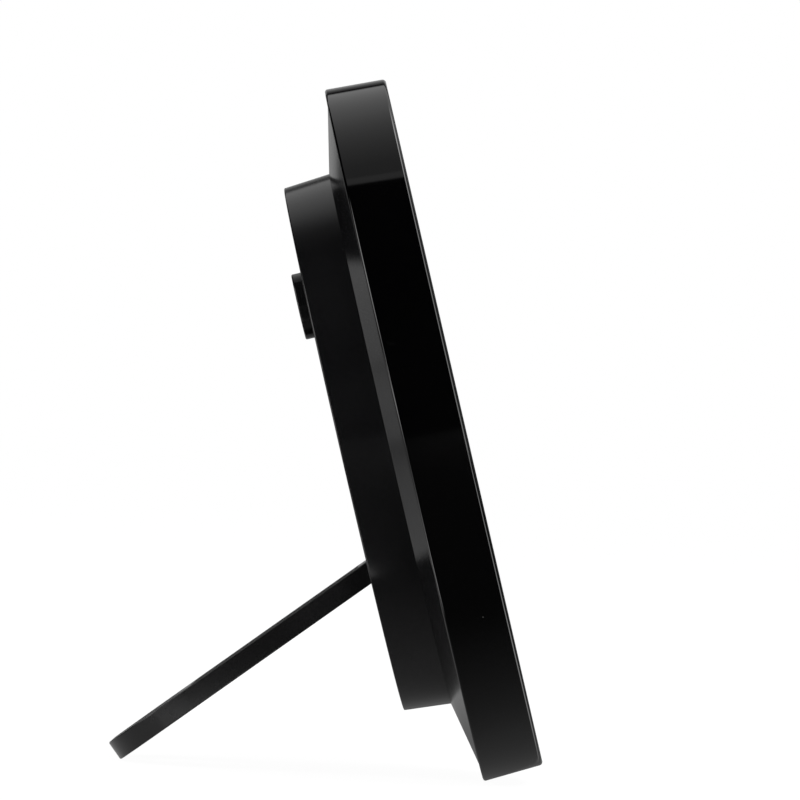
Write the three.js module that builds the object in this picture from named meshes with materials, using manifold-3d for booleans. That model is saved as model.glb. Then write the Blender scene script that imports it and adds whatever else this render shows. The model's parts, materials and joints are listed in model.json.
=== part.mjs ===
// Radio-controlled analogue clock for wall or table: round, black, with a fold-out stand at the back.
// Millimetres, +Z up. The dial faces -Y and leans back on the stand, as the clock stands on a table.

import * as THREE from 'three';
import { mergeVertices } from 'three/addons/utils/BufferGeometryUtils.js';
import Module from 'manifold-3d';

const wasm = await Module();
wasm.setup();

const degrees = Math.PI / 180;

// Clearances
const seat = 0.3; // between pieces that rest on each other
const runningFit = 0.3; // radial, round a turning shaft or pin
const slideFit = 0.4; // round a button or a cover
const standFit = 0.6; // round the folded stand

// Facets of the round pieces
const rimFacets = 60;
const midFacets = 24;
const smallFacets = 12;
const mergeDistance = 1e-4;

// Front case, a ring with a groove at its back
const frontRadius = 125;
const sideFlare = 1.1; // how much the back edge is wider than the front edge
const caseDepth = 21;
const frontEdge = 0.9;
const backEdge = 0.4;
const caseWall = 2.5;
const bezelWidth = 15;
const bezelFlat = 5;
const bezelDip = 1.6;
const lipThickness = 3.2;
const ringWall = 2;
const rebateLip = 0.8;
const rebateDepth = 1.6;

// Window, spacer and dial
const lensThickness = 2;
const lensOverlap = 3;
const spacerHeight = 9;
const spacerFoot = 4.5;
const dialThickness = 1.2;
const dialHoleRadius = 4.7;

// Rear case, a shallow cone and a drum
const rearWall = 2.2;
const seamGap = 0.3;
const drumBaseRadius = 96.6;
const drumDraft = 1.4; // how much the drum narrows towards its back
const coneRise = 6;
const drumDepth = 16.8;
const drumEdge = 1.2;
const skirtWall = 2.2;

// Snap hooks that hold the rear case in the groove of the front case
const hookCount = 6;
const hookWidth = 10;
const hookThickness = 2;
const hookLength = 11;
const hookBarb = 1.8;
const barbHeight = 3;
const catchHeight = 3;
const catchWidth = 14;

// Board screws
const screwShankRadius = 1.3;
const screwHeadRadius = 2.6;
const screwHeadHeight = 0.8;

// Stand
const standThickness = 7.3;
const standWidth = 84;
const standLength = 114.8; // from the pivot to the foot
const standCorner = 22;
const standOpenAngle = 112.2 * degrees; // from folded up to the stop
const standSkin = 2.4;
const standRib = 2.4;
const pivotDrop = 42.3; // below the dial centre
const pinRadius = 2;
const pinLength = 12;
const pinBossThickness = 5;
const thumbRadius = 11;

// Hanging boss with its keyhole plate
const bossRadius = 11.85;
const bossToFoot = 19.6; // from the boss centre to the foot of the folded stand
const bossProud = 4.5; // beyond the back of the drum
const bossWall = 2.6;
const hangerThickness = 1.2;
const hangerRecess = 1;
const hangerLedge = 1.2;
const keyholeRadius = 4.9;
const keyholeSlot = 4.4;
const keyholeRise = 5.2; // from the round entry to the end of the slot
const keyholeDrop = 2.2; // of the entry below the boss centre

// Battery and its well
const batteryRadius = 7.1;
const batteryLength = 49.2;
const batteryNubRadius = 2.7;
const batteryNubLength = 1.2;
const batteryOffset = 66; // sideways from the dial centre
const wellWall = 1.8;
const contactThickness = 0.6;
const contactWidth = 10;
const tailWidth = 3; // of the contact's tail through the floor of the well
const tailReach = 2;
const coverThickness = 2;
const coverLedge = 1.6;

// Push buttons, switches and the receiver board
const buttonNames = ['set', 'receive', 'reset'];
const buttonOffset = 66;
const buttonPitch = 17;
const buttonRadius = 4.5;
const buttonFlange = 1.4;
const buttonFlangeThickness = 1;
const buttonSunk = 0.3; // below the back of the drum
const buttonTravel = 0.7;
const stemRadius = 2;
const stemLength = 1.2;
const switchSide = 6;
const switchHeight = 3.4;
const plungerRadius = 1.6;
const plungerHeight = 0.6;
const plungerGap = 0.1; // left at the end of the travel
const boardWidth = 28;
const boardHeight = 70;
const boardThickness = 1.6;
const boardScrewSpread = 58;
const boardScrewLength = 7;
const postRadius = 3;

// Ferrite aerial
const rodRadius = 4;
const rodLength = 64;
const rodDrop = 68;
const aerialCoilRadius = 7;
const aerialCoilLength = 20;
const cradleSpread = 48;
const cradleWidth = 6;
const cradleHeight = 13;

// Leads
const leadRadius = 0.8;
const leadSides = 8;
const leadSteps = 16;
const ribbonWidth = 5;
const ribbonThickness = 0.8;
const leadDepth = 22; // of the battery leads where they cross under the movement
const positiveLevel = -34;
const negativeLevel = -40;
const positivePad = [-58, -22]; // x and height of each lead's end on the board
const negativePad = [-58, -27];
const aerialPad = [-61, -32];
const ribbonPad = [-56, -6];
const leadBend = 2;
const crossingHalf = 30; // half of the straight run under the movement

// Movement box
const movementSide = 56;
const movementWall = 1.5;
const movementPlate = 1.7;
const coverPlate = 1.6;
const pivotRadius = 0.6;
const bushRadius = 4;
const bushBore = 2.9;
const nutThickness = 2;
const nutAcrossFlats = 11;
const washerRadius = 7;
const washerThickness = 0.4;

// Gear train: teeth and modules
const fineModule = 0.4;
const coarseModule = 0.5;
const pinionTeeth = 8;
const rotorWheelTeeth = 48;
const centreWheelTeeth = 40;
const cannonTeeth = 12;
const motionWheelTeeth = 36;
const motionPinionTeeth = 12;
const hourWheelTeeth = 48;
const hourLayer = 0; // gears lie in layers, counted back from the dial
const motionLayer = 1;
const minuteLayer = 2;
const secondLayer = 4;
const gearThickness = 1;
const layerGap = 0.9;
const toothAddendum = 0.8;
const toothDedendum = 1.2;
const toothBacklash = 0.16;
const pressureAngle = 20 * degrees;
const meshSlack = 0.06; // added to each centre distance

// Stepping motors
const magnetRadius = 3;
const magnetHeight = 3;
const statorThickness = 1;
const statorHole = 3.6;
const statorArm = 6;
const statorBar = 3;
const coilRadius = 3.6;
const coilLength = 16;
const coilInner = 4; // clear space on each side of the movement's middle line
const intermediateAngle = 30 * degrees; // of each intermediate wheel above the horizontal
const rotorAngle = -50 * degrees; // of each rotor as seen from its intermediate wheel

// Hands, shown at 10:09:35
const hourAngle = 304.8 * degrees;
const minuteAngle = 57.5 * degrees;
const secondAngle = 210 * degrees;
const handThickness = 0.7;
const secondHandThickness = 0.5;
const handGap = 0.8;
const hourHandLength = 62;
const hourHandTail = 14;
const hourHandWidth = 7;
const minuteHandLength = 92;
const minuteHandTail = 18;
const minuteHandWidth = 5.2;
const secondHandLength = 97;
const secondHandTail = 30;
const secondHandWidth = 1.6;
const hourPipe = 2.4;
const minutePipe = 1.45;
const secondArbor = 0.65;
const hubWall = 2.8;
const secondHubRadius = 4;

// Worked-out places, measured back from the front of the bezel and out from the dial axis
const backRadius = frontRadius + sideFlare;
const openingRadius = frontRadius - bezelWidth;
const lensRadius = openingRadius + lensOverlap;
const boreRadius = lensRadius + slideFit;
const ringRadius = boreRadius + ringWall;
const grooveRadius = frontRadius - caseWall;
const rebateRadius = backRadius - rebateLip;
const rebateFloor = caseDepth - rebateDepth;

const lensFront = lipThickness + seat;
const spacerFront = lensFront + lensThickness + seat;
const dialFront = spacerFront + spacerHeight + seat;
const dialBack = dialFront + dialThickness;
const stackRadius = boreRadius - slideFit;

const coneSlope = coneRise / (backRadius - drumBaseRadius);
const drumFront = caseDepth + coneRise;
const drumBack = drumFront + drumDepth;
const drumBackRadius = drumBaseRadius - drumDraft;
const flangeSeat = rebateFloor + seat;
const flangeRadius = rebateRadius - seamGap;
const innerBack = drumBack - rearWall;
const coneAt = (radius) => caseDepth + (backRadius - radius) * coneSlope;
const hookRadius = grooveRadius - standFit - hookThickness; // inner side of each hook
const hookFront = flangeSeat - hookLength;
const catchFront = hookFront + barbHeight + seat;
const hookAngles = Array.from({ length: hookCount }, (_, i) => (2 * Math.PI * i) / hookCount);

const pivotDepth = drumBack - standThickness / 2;
const recessFloor = drumBack - standThickness - standFit;
const trayFront = recessFloor - rearWall;
const standTip = standLength - pivotDrop;
const bossHeight = standTip - bossToFoot; // above the dial centre
const bossTop = drumBack + bossProud;
const bossHole = bossRadius + 2 * standFit;

const movementFront = dialBack + seat;
const plateInner = movementFront + movementPlate;
const layer = (index) => plateInner + layerGap / 2 + index * (gearThickness + layerGap);
const coverSeat = layer(secondLayer + 1) + gearThickness + layerGap;
const coverFront = coverSeat + seat;
const coverBack = coverFront + coverPlate;

const washerBack = dialFront - seat;
const nutBack = washerBack - washerThickness - seat;
const bushFront = nutBack - nutThickness - seat / 2;
const hourHandBack = bushFront - handGap / 2;
const minuteHandBack = hourHandBack - handThickness - handGap;
const secondHandBack = minuteHandBack - handThickness - handGap;

// Turns a closed geometry into a solid whose faces point out
function solidOf(geometry) {
  const bare = geometry.clone();
  bare.deleteAttribute('normal');
  bare.deleteAttribute('uv');
  const merged = mergeVertices(bare, mergeDistance);
  const points = merged.getAttribute('position');
  const corners = [0, 1, 2].map(() => new THREE.Vector3());
  const triangles = [];
  let volume = 0;
  for (let i = 0; i < merged.index.count; i += 3) {
    const indices = [0, 1, 2].map((k) => merged.index.getX(i + k));
    if (new Set(indices).size < 3) continue;
    indices.forEach((index, k) => corners[k].fromBufferAttribute(points, index));
    volume += corners[0].dot(corners[1].clone().cross(corners[2]));
    triangles.push(indices);
  }
  const outward = volume > 0 ? triangles : triangles.map(([a, b, c]) => [a, c, b]);
  const vertProperties = new Float32Array(points.array);
  const triVerts = new Uint32Array(outward.flat());
  return new wasm.Manifold(new wasm.Mesh({ numProp: 3, vertProperties, triVerts }));
}

// A solid of revolution about the dial axis, from [radius, depth] points
function turned(profile, facets = rimFacets) {
  const points = profile.map(([radius, depth]) => new THREE.Vector2(radius, depth));
  return solidOf(new THREE.LatheGeometry(points, facets, Math.PI / facets));
}

// A plate between two depths, from an outline of x to the right and z up
function plate(shape, front, back, curveSegments = smallFacets) {
  const options = { depth: back - front, bevelEnabled: false, curveSegments };
  const geometry = new THREE.ExtrudeGeometry(shape, options);
  return solidOf(geometry.rotateX(Math.PI / 2).translate(0, back, 0));
}

// A bar along x, from an outline of depth and height
function crossBar(points, halfWidth) {
  const shape = new THREE.Shape(points.map(([depth, height]) => new THREE.Vector2(-height, depth)));
  const geometry = new THREE.ExtrudeGeometry(shape, { depth: 2 * halfWidth, bevelEnabled: false });
  return solidOf(geometry.rotateY(Math.PI / 2).translate(-halfWidth, 0, 0));
}

// A block between two corners given as [x, depth, z]
function block(low, high) {
  const size = high.map((value, k) => value - low[k]);
  const middle = high.map((value, k) => (value + low[k]) / 2);
  return solidOf(new THREE.BoxGeometry(...size).translate(...middle));
}

// A block on the right of the dial axis, turned round the axis to an angle
function ringBlock(inner, outer, front, back, width, angle) {
  const geometry = new THREE.BoxGeometry(outer - inner, back - front, width);
  return solidOf(geometry.translate((inner + outer) / 2, (front + back) / 2, 0).rotateY(angle));
}

// A rod along the dial axis at x, z
function rod(radius, front, back, x = 0, z = 0, facets = smallFacets) {
  const geometry = new THREE.CylinderGeometry(radius, radius, back - front, facets);
  return solidOf(geometry.translate(x, (front + back) / 2, z));
}

// A rod across the clock, along x
function crossRod(radius, left, right, depth, z, facets = smallFacets) {
  const geometry = new THREE.CylinderGeometry(radius, radius, right - left, facets);
  return solidOf(geometry.rotateZ(Math.PI / 2).translate((left + right) / 2, depth, z));
}

// A rod along z
function uprightRod(radius, low, high, x, depth, facets = smallFacets) {
  const geometry = new THREE.CylinderGeometry(radius, radius, high - low, facets);
  return solidOf(geometry.rotateX(Math.PI / 2).translate(x, depth, (low + high) / 2));
}

function joined(...solids) {
  return solids.reduce((sum, next) => sum.add(next));
}

function cut(solid, ...tools) {
  return tools.reduce((left, tool) => left.subtract(tool), solid);
}

// Adds one named piece to a group
function addPiece(parent, name, solid, finish) {
  const mesh = solid.getMesh();
  const geometry = new THREE.BufferGeometry();
  geometry.setAttribute('position', new THREE.BufferAttribute(new Float32Array(mesh.vertProperties), 3));
  geometry.setIndex(new THREE.BufferAttribute(new Uint32Array(mesh.triVerts), 1));
  geometry.computeVertexNormals();
  const piece = new THREE.Mesh(geometry, finish);
  piece.name = name;
  parent.add(piece);
}

function finish(color, roughness, metalness = 0) {
  return new THREE.MeshStandardMaterial({ color, roughness, metalness });
}

const glossBlack = finish(0x050506, 0.08);
const satinBlack = finish(0x0b0b0c, 0.35);
const clearPlastic = finish(0xf4f8fa, 0.03);
clearPlastic.transparent = true;
clearPlastic.opacity = 0.2;
const dialWhite = finish(0xf2f2ee, 0.55);
const handBlack = finish(0x0a0a0a, 0.3);
const handRed = finish(0xb01a14, 0.35);
const steel = finish(0xb9bcc0, 0.3, 1);
const brass = finish(0xc9a14a, 0.35, 1);
const copper = finish(0xb8643a, 0.4, 1);
const gearWhite = finish(0xe9e7df, 0.5);
const greyPlastic = finish(0x6d7074, 0.55);
const boardGreen = finish(0x1f6a3c, 0.5);
const ferrite = finish(0x3a3a3d, 0.6);
const magnetGrey = finish(0x55575a, 0.45, 0.6);
const cellGrey = finish(0x8d9197, 0.35, 0.7);
const leadRed = finish(0xa01812, 0.45);

// Front case and what it holds

function frontCase() {
  const ring = turned([
    [openingRadius, lipThickness],
    [openingRadius, bezelDip],
    [frontRadius - bezelFlat, 0],
    [frontRadius - frontEdge, 0],
    [frontRadius, frontEdge],
    [backRadius, caseDepth - backEdge],
    [backRadius - backEdge, caseDepth],
    [rebateRadius, caseDepth],
    [rebateRadius, rebateFloor],
    [grooveRadius, rebateFloor],
    [grooveRadius, lipThickness],
    [ringRadius, lipThickness],
    [ringRadius, rebateFloor],
    [boreRadius, rebateFloor],
    [boreRadius, lipThickness],
    [openingRadius, lipThickness],
  ]);
  const catches = hookAngles.map((angle) => ringBlock(
    ringRadius - ringWall / 2, hookRadius - standFit, catchFront, catchFront + catchHeight, catchWidth, angle,
  ));
  return joined(ring, ...catches);
}

function lens() {
  return rod(lensRadius, lensFront, lensFront + lensThickness, 0, 0, rimFacets);
}

function dialSpacer() {
  const back = spacerFront + spacerHeight;
  return turned([
    [openingRadius, spacerFront],
    [stackRadius, spacerFront],
    [stackRadius, back],
    [stackRadius - spacerFoot, back],
    [openingRadius, spacerFront],
  ]);
}

function dial() {
  return cut(
    rod(stackRadius, dialFront, dialBack, 0, 0, rimFacets),
    rod(dialHoleRadius, dialFront - seat, dialBack + seat),
  );
}

// Rear case

// The stand's outline seen from the front, square at the root and round at the corners of the foot
function standOutline(bottom, top, halfWidth, corner) {
  const shape = new THREE.Shape();
  shape.moveTo(-halfWidth, bottom);
  shape.lineTo(halfWidth, bottom);
  shape.lineTo(halfWidth, top - corner);
  shape.absarc(halfWidth - corner, top - corner, corner, 0, Math.PI / 2, false);
  shape.lineTo(corner - halfWidth, top);
  shape.absarc(corner - halfWidth, top - corner, corner, Math.PI / 2, Math.PI, false);
  return shape;
}

const standHalf = standWidth / 2;
const recessHalf = standHalf + standFit;
const recessTop = standTip + standFit;
const rootDrop = standThickness / 2 + standFit;
const recessRoot = -pivotDrop - rootDrop;

// Where the sloping stop under the open stand meets a given depth
const stopDepth = pivotDepth - (standThickness / 2 + seat) * Math.cos(Math.PI - standOpenAngle);
const stopHeight = -pivotDrop - (standThickness / 2 + seat) * Math.sin(Math.PI - standOpenAngle);
const stopAt = (depth) => stopHeight - (depth - stopDepth) / Math.tan(Math.PI - standOpenAngle);
const stopTopDepth = stopDepth + (stopHeight - recessRoot) * Math.tan(Math.PI - standOpenAngle);
const recessMouth = drumBack + seat;

function rearShell() {
  const innerCone = (radius) => coneAt(radius) - rearWall * Math.hypot(1, coneSlope);
  const skirtRadius = boreRadius - seat;
  const skirtInner = skirtRadius - skirtWall;
  const innerBase = drumBaseRadius - rearWall;
  return turned([
    [0, drumBack],
    [drumBackRadius - drumEdge, drumBack],
    [drumBackRadius - drumEdge * (1 - Math.SQRT1_2), drumBack - drumEdge * (1 - Math.SQRT1_2)],
    [drumBackRadius, drumBack - drumEdge],
    [drumBaseRadius, drumFront],
    [flangeRadius, coneAt(flangeRadius)],
    [flangeRadius, flangeSeat],
    [skirtRadius, flangeSeat],
    [skirtRadius, dialBack + seat],
    [skirtInner, dialBack + seat],
    [skirtInner, innerCone(skirtInner)],
    [innerBase, innerCone(innerBase)],
    [drumBackRadius - rearWall, innerBack],
    [0, innerBack],
  ]);
}

const wellHalf = batteryRadius + slideFit + seat;
const wellFloor = drumBack - coverThickness - 2 * seat - 2 * batteryRadius - slideFit;
const wellEnd = batteryLength / 2 + batteryNubLength + contactThickness + 3 * seat;
const batteryDepth = wellFloor + slideFit + batteryRadius;
const tailEnd = wellFloor - wellWall - tailReach;

// The heights between which the contact at the top, 1, or the bottom, -1, of the battery stands
function contactSpan(end) {
  const near = end * ((batteryLength + batteryNubLength) / 2 + seat);
  const far = near + end * contactThickness;
  return [Math.min(near, far), Math.max(near, far)];
}

function wellBox(margin, front, back) {
  const half = wellHalf + margin;
  return block(
    [batteryOffset - half, front, -wellEnd - margin],
    [batteryOffset + half, back, wellEnd + margin],
  );
}

const buttonPlaces = buttonNames.map((_, i) => (1 - i) * buttonPitch);
const buttonFlangeBack = innerBack - seat;
const stemFront = buttonFlangeBack - buttonFlangeThickness - stemLength;
const switchTop = stemFront - buttonTravel - plungerGap;
const boardBack = switchTop - plungerHeight - switchHeight - seat;
const boardScrewPlaces = [-boardScrewSpread / 2, boardScrewSpread / 2];
const boardScrewFront = boardBack - boardThickness - seat;
const rodDepth = innerBack - seat - aerialCoilRadius - runningFit;

function rearCase() {
  const tray = plate(
    standOutline(
      stopAt(drumBack) - rearWall,
      recessTop + rearWall,
      recessHalf + rearWall,
      standCorner + rearWall,
    ),
    trayFront, innerBack + seat, smallFacets / 2,
  );
  const thumbTray = rod(thumbRadius + rearWall, trayFront, innerBack + seat, 0, recessTop);
  const pinBosses = [-1, 1].map((side) => {
    const inner = side * recessHalf;
    const outer = side * (recessHalf + pinBossThickness);
    const low = [Math.min(inner, outer), trayFront, -pivotDrop - rootDrop];
    const high = [Math.max(inner, outer), innerBack + seat, -pivotDrop + rootDrop];
    return block(low, high);
  });
  const well = wellBox(wellWall + coverLedge, wellFloor - wellWall, innerBack + seat);
  const posts = boardScrewPlaces.map((z) => (
    rod(postRadius, boardBack + seat, innerBack + seat, -buttonOffset, z)
  ));
  const cradles = [-1, 1].map((side) => block(
    [side * cradleSpread / 2 - cradleWidth / 2, rodDepth, -rodDrop - cradleHeight / 2],
    [side * cradleSpread / 2 + cradleWidth / 2, innerBack + seat, -rodDrop + cradleHeight / 2],
  ));
  const boss = rod(bossRadius, recessFloor - seat, bossTop, 0, bossHeight, midFacets);
  const hooks = hookAngles.flatMap((angle) => [
    ringBlock(hookRadius, hookRadius + hookThickness, hookFront, flangeSeat + seat, hookWidth, angle),
    ringBlock(hookRadius - hookBarb, hookRadius + seat, hookFront, hookFront + barbHeight, hookWidth, angle),
  ]);

  const recess = plate(
    standOutline(-pivotDrop, recessTop, recessHalf, standCorner + standFit),
    recessFloor, recessMouth, smallFacets / 2,
  );
  const root = crossBar([
    [recessFloor, -pivotDrop + rootDrop],
    [recessFloor, recessRoot],
    [stopTopDepth, recessRoot],
    [recessMouth, stopAt(recessMouth)],
    [recessMouth, -pivotDrop + rootDrop],
  ], recessHalf);
  const thumbNotch = rod(thumbRadius, recessFloor + standThickness / 2, recessMouth, 0, recessTop);
  const pinReach = standHalf + pinLength / 2;
  const pinHole = crossRod(pinRadius + runningFit, -pinReach, pinReach, pivotDepth, -pivotDrop);
  const bossCup = rod(bossRadius - bossWall - hangerLedge, recessFloor, bossTop, 0, bossHeight, midFacets);
  const hangerFront = bossTop - hangerRecess - hangerThickness - seat;
  const hangerSeat = rod(bossRadius - bossWall, hangerFront, bossTop + seat, 0, bossHeight, midFacets);
  const wellRoom = wellBox(0, wellFloor, recessMouth);
  const tailSlits = [-1, 1].map((end) => {
    const [low, high] = contactSpan(end);
    return block(
      [batteryOffset - tailWidth / 2 - seat, tailEnd, low - seat],
      [batteryOffset + tailWidth / 2 + seat, wellFloor + seat, high + seat],
    );
  });
  const coverRoom = wellBox(coverLedge, drumBack - coverThickness - seat, recessMouth);
  const buttonHoles = buttonPlaces.map((z) => (
    rod(buttonRadius + slideFit, innerBack - seat, recessMouth, -buttonOffset, z)
  ));
  const boardHoles = boardScrewPlaces.map((z) => (
    rod(screwShankRadius + runningFit, boardBack, boardScrewFront + boardScrewLength + seat, -buttonOffset, z)
  ));
  const rodGroove = crossRod(rodRadius + runningFit, -rodLength / 2, rodLength / 2, rodDepth, -rodDrop);

  const body = joined(rearShell(), tray, thumbTray, ...pinBosses, well, ...posts, ...cradles, ...hooks);
  const opened = cut(body, recess, root, thumbNotch, pinHole, wellRoom, coverRoom, ...buttonHoles);
  const drilled = cut(opened, ...tailSlits, ...boardHoles, rodGroove);
  return joined(drilled, cut(boss, bossCup, hangerSeat));
}

function hangerPlate() {
  const back = bossTop - hangerRecess;
  const front = back - hangerThickness;
  const entry = bossHeight - keyholeDrop;
  const slot = new THREE.Shape();
  slot.moveTo(-keyholeSlot / 2, entry);
  slot.lineTo(keyholeSlot / 2, entry);
  slot.lineTo(keyholeSlot / 2, entry + keyholeRise);
  slot.absarc(0, entry + keyholeRise, keyholeSlot / 2, 0, Math.PI, false);
  return cut(
    rod(bossRadius - bossWall - seat, front, back, 0, bossHeight, midFacets),
    rod(keyholeRadius, front - seat, back + seat, 0, entry, midFacets),
    plate(slot, front - seat, back + seat, smallFacets / 2),
  );
}

// Stand, in its own frame: pivot at the origin, foot up along z, hollow towards the clock

function stand() {
  const half = standThickness / 2;
  const holeAt = bossHeight + pivotDrop;
  const arm = plate(standOutline(0, standLength, standHalf, standCorner), -half, half, smallFacets / 2);
  const rootRound = crossRod(half, -standHalf, standHalf, 0, 0);
  const collarBottom = holeAt - bossHole - standRib;
  const pocketBottom = standThickness;
  const bayHalf = (standHalf - standRib - standRib / 2) / 2;
  const bays = [-1, 1].map((side) => block(
    [side * (bayHalf + standRib / 2) - bayHalf, -half - seat, pocketBottom],
    [side * (bayHalf + standRib / 2) + bayHalf, half - standSkin, collarBottom],
  ));
  const hole = rod(bossHole, -half - seat, half + seat, 0, holeAt, midFacets);
  const pinHoles = [-1, 1].map((side) => crossRod(
    pinRadius + runningFit,
    Math.min(side * (standHalf - pinLength / 2 - seat), side * (standHalf + seat)),
    Math.max(side * (standHalf - pinLength / 2 - seat), side * (standHalf + seat)),
    0, 0,
  ));
  return cut(joined(arm, rootRound), ...bays, hole, ...pinHoles);
}

function standPin(side) {
  const inner = side * (standHalf - pinLength / 2);
  const outer = side * (standHalf + pinLength / 2 - seat);
  return crossRod(pinRadius, Math.min(inner, outer), Math.max(inner, outer), pivotDepth, -pivotDrop);
}

// Battery, contacts and cover

function battery() {
  const low = -batteryLength / 2 - batteryNubLength / 2;
  return joined(
    uprightRod(batteryRadius, low, low + batteryLength, batteryOffset, batteryDepth, midFacets),
    uprightRod(batteryNubRadius, low + batteryLength / 2, low + batteryLength + batteryNubLength,
      batteryOffset, batteryDepth),
  );
}

function batteryContact(end) {
  const [low, high] = contactSpan(end);
  return joined(
    block(
      [batteryOffset - contactWidth / 2, wellFloor + seat, low],
      [batteryOffset + contactWidth / 2, batteryDepth + batteryRadius, high],
    ),
    block([batteryOffset - tailWidth / 2, tailEnd, low], [batteryOffset + tailWidth / 2, batteryDepth, high]),
  );
}

function batteryCover() {
  return wellBox(coverLedge - slideFit, drumBack - coverThickness, drumBack);
}

// Buttons, switches, board and aerial

function button(z) {
  const flange = buttonFlangeBack - buttonFlangeThickness;
  return joined(
    rod(buttonRadius, flange, drumBack - buttonSunk, -buttonOffset, z, midFacets),
    rod(buttonRadius + buttonFlange, flange, buttonFlangeBack, -buttonOffset, z, midFacets),
    rod(stemRadius, stemFront, buttonFlangeBack, -buttonOffset, z),
  );
}

function tactSwitch(z) {
  const half = switchSide / 2;
  const base = boardBack + seat;
  return joined(
    block([-buttonOffset - half, base, z - half], [-buttonOffset + half, base + switchHeight, z + half]),
    rod(plungerRadius, base, switchTop, -buttonOffset, z),
  );
}

function receiverBoard() {
  const front = boardBack - boardThickness;
  const half = boardWidth / 2;
  const holes = boardScrewPlaces.map((z) => (
    rod(screwShankRadius + runningFit, front - seat, boardBack + seat, -buttonOffset, z)
  ));
  return cut(
    block(
      [-buttonOffset - half, front, -boardHeight / 2],
      [-buttonOffset + half, boardBack, boardHeight / 2],
    ),
    ...holes,
  );
}

function boardScrew(z) {
  return joined(
    rod(screwShankRadius, boardScrewFront - seat, boardScrewFront + boardScrewLength, -buttonOffset, z),
    rod(screwHeadRadius, boardScrewFront - screwHeadHeight, boardScrewFront, -buttonOffset, z),
  );
}

function ferriteRod() {
  return crossRod(rodRadius, -rodLength / 2, rodLength / 2, rodDepth, -rodDrop, midFacets);
}

function aerialCoil() {
  const half = aerialCoilLength / 2;
  return cut(
    crossRod(aerialCoilRadius, -half, half, rodDepth, -rodDrop, midFacets),
    crossRod(rodRadius + runningFit, -half - seat, half + seat, rodDepth, -rodDrop, midFacets),
  );
}

// Gears

function involute(angle) {
  return Math.tan(angle) - angle;
}

// Outline of a spur gear round x, z, with a tooth, or a gap, pointing at the given angle
function gearShape(teeth, module, x, z, facing, gapFacing = false) {
  const pitchRadius = teeth * module / 2;
  const baseRadius = pitchRadius * Math.cos(pressureAngle);
  const tipRadius = pitchRadius + toothAddendum * module;
  const rootRadius = pitchRadius - toothDedendum * module;
  const pitchHalf = (Math.PI / 2 / teeth) * (1 - toothBacklash);
  const halfAt = (radius) => {
    const angle = Math.acos(Math.min(1, baseRadius / Math.max(radius, baseRadius)));
    return pitchHalf + involute(pressureAngle) - involute(angle);
  };
  const step = (2 * Math.PI) / teeth;
  const start = facing + (gapFacing ? step / 2 : 0);
  const points = [];
  for (let i = 0; i < teeth; i += 1) {
    const middle = start + i * step;
    const flank = [
      [rootRadius, -halfAt(rootRadius)],
      [tipRadius, -halfAt(tipRadius)],
      [tipRadius, halfAt(tipRadius)],
      [rootRadius, halfAt(rootRadius)],
    ];
    for (const [radius, turn] of flank) {
      const angle = middle + turn;
      points.push(new THREE.Vector2(x + radius * Math.cos(angle), z + radius * Math.sin(angle)));
    }
  }
  return new THREE.Shape(points);
}

function gear(teeth, module, index, [x, z], facing, gapFacing, margin = 0) {
  const front = layer(index) - margin;
  const back = layer(index) + gearThickness + margin;
  return plate(gearShape(teeth, module, x, z, facing, gapFacing), front, back);
}

const pinionMargin = layerGap / 4;
const centre = [0, 0];
const centreDistance = (coarseModule * (pinionTeeth + centreWheelTeeth)) / 2 + meshSlack;
const rotorDistance = (fineModule * (pinionTeeth + rotorWheelTeeth)) / 2 + meshSlack;
const motionDistance = (coarseModule * (cannonTeeth + motionWheelTeeth)) / 2 + meshSlack;
const motionPlace = [0, motionDistance];
const up = Math.PI / 2;

// The minute motor's train lies to the right of the axis, the second motor's to the left
function trainPlaces(side) {
  const toIntermediate = side > 0 ? intermediateAngle : Math.PI - intermediateAngle;
  const toRotor = side > 0 ? rotorAngle : Math.PI - rotorAngle;
  const intermediate = [
    centreDistance * Math.cos(toIntermediate),
    centreDistance * Math.sin(toIntermediate),
  ];
  const rotor = [
    intermediate[0] + rotorDistance * Math.cos(toRotor),
    intermediate[1] + rotorDistance * Math.sin(toRotor),
  ];
  return { side, toIntermediate, toRotor, intermediate, rotor };
}

const minuteTrain = trainPlaces(1);
const secondTrain = trainPlaces(-1);
const pivotFront = plateInner - movementPlate / 2;
const pivotBack = coverFront + coverPlate / 2;
const pivotHole = pivotRadius + runningFit;

function secondWheel() {
  return joined(
    gear(centreWheelTeeth, coarseModule, secondLayer, centre, secondTrain.toIntermediate, false),
    rod(secondArbor, secondHandBack - secondHandThickness / 2, pivotBack),
  );
}

function minuteWheel() {
  const pipeFront = minuteHandBack - handThickness;
  const pipeBack = layer(minuteLayer) + gearThickness;
  return cut(
    joined(
      gear(centreWheelTeeth, coarseModule, minuteLayer, centre, minuteTrain.toIntermediate, false),
      gear(cannonTeeth, coarseModule, motionLayer, centre, up, false, pinionMargin),
      rod(minutePipe, pipeFront, pipeBack),
    ),
    rod(secondArbor + runningFit, pipeFront - seat, pipeBack + seat),
  );
}

function hourWheel() {
  const pipeFront = hourHandBack - handThickness;
  const pipeBack = layer(hourLayer) + gearThickness;
  return cut(
    joined(
      gear(hourWheelTeeth, fineModule, hourLayer, centre, up, false),
      rod(hourPipe, pipeFront, pipeBack),
    ),
    rod(minutePipe + runningFit, pipeFront - seat, pipeBack + seat),
  );
}

function motionWheel() {
  const [x, z] = motionPlace;
  return joined(
    gear(motionPinionTeeth, fineModule, hourLayer, motionPlace, -up, true, pinionMargin),
    gear(motionWheelTeeth, coarseModule, motionLayer, motionPlace, -up, true),
    rod(pivotRadius, pivotFront, pivotBack, x, z),
  );
}

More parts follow.
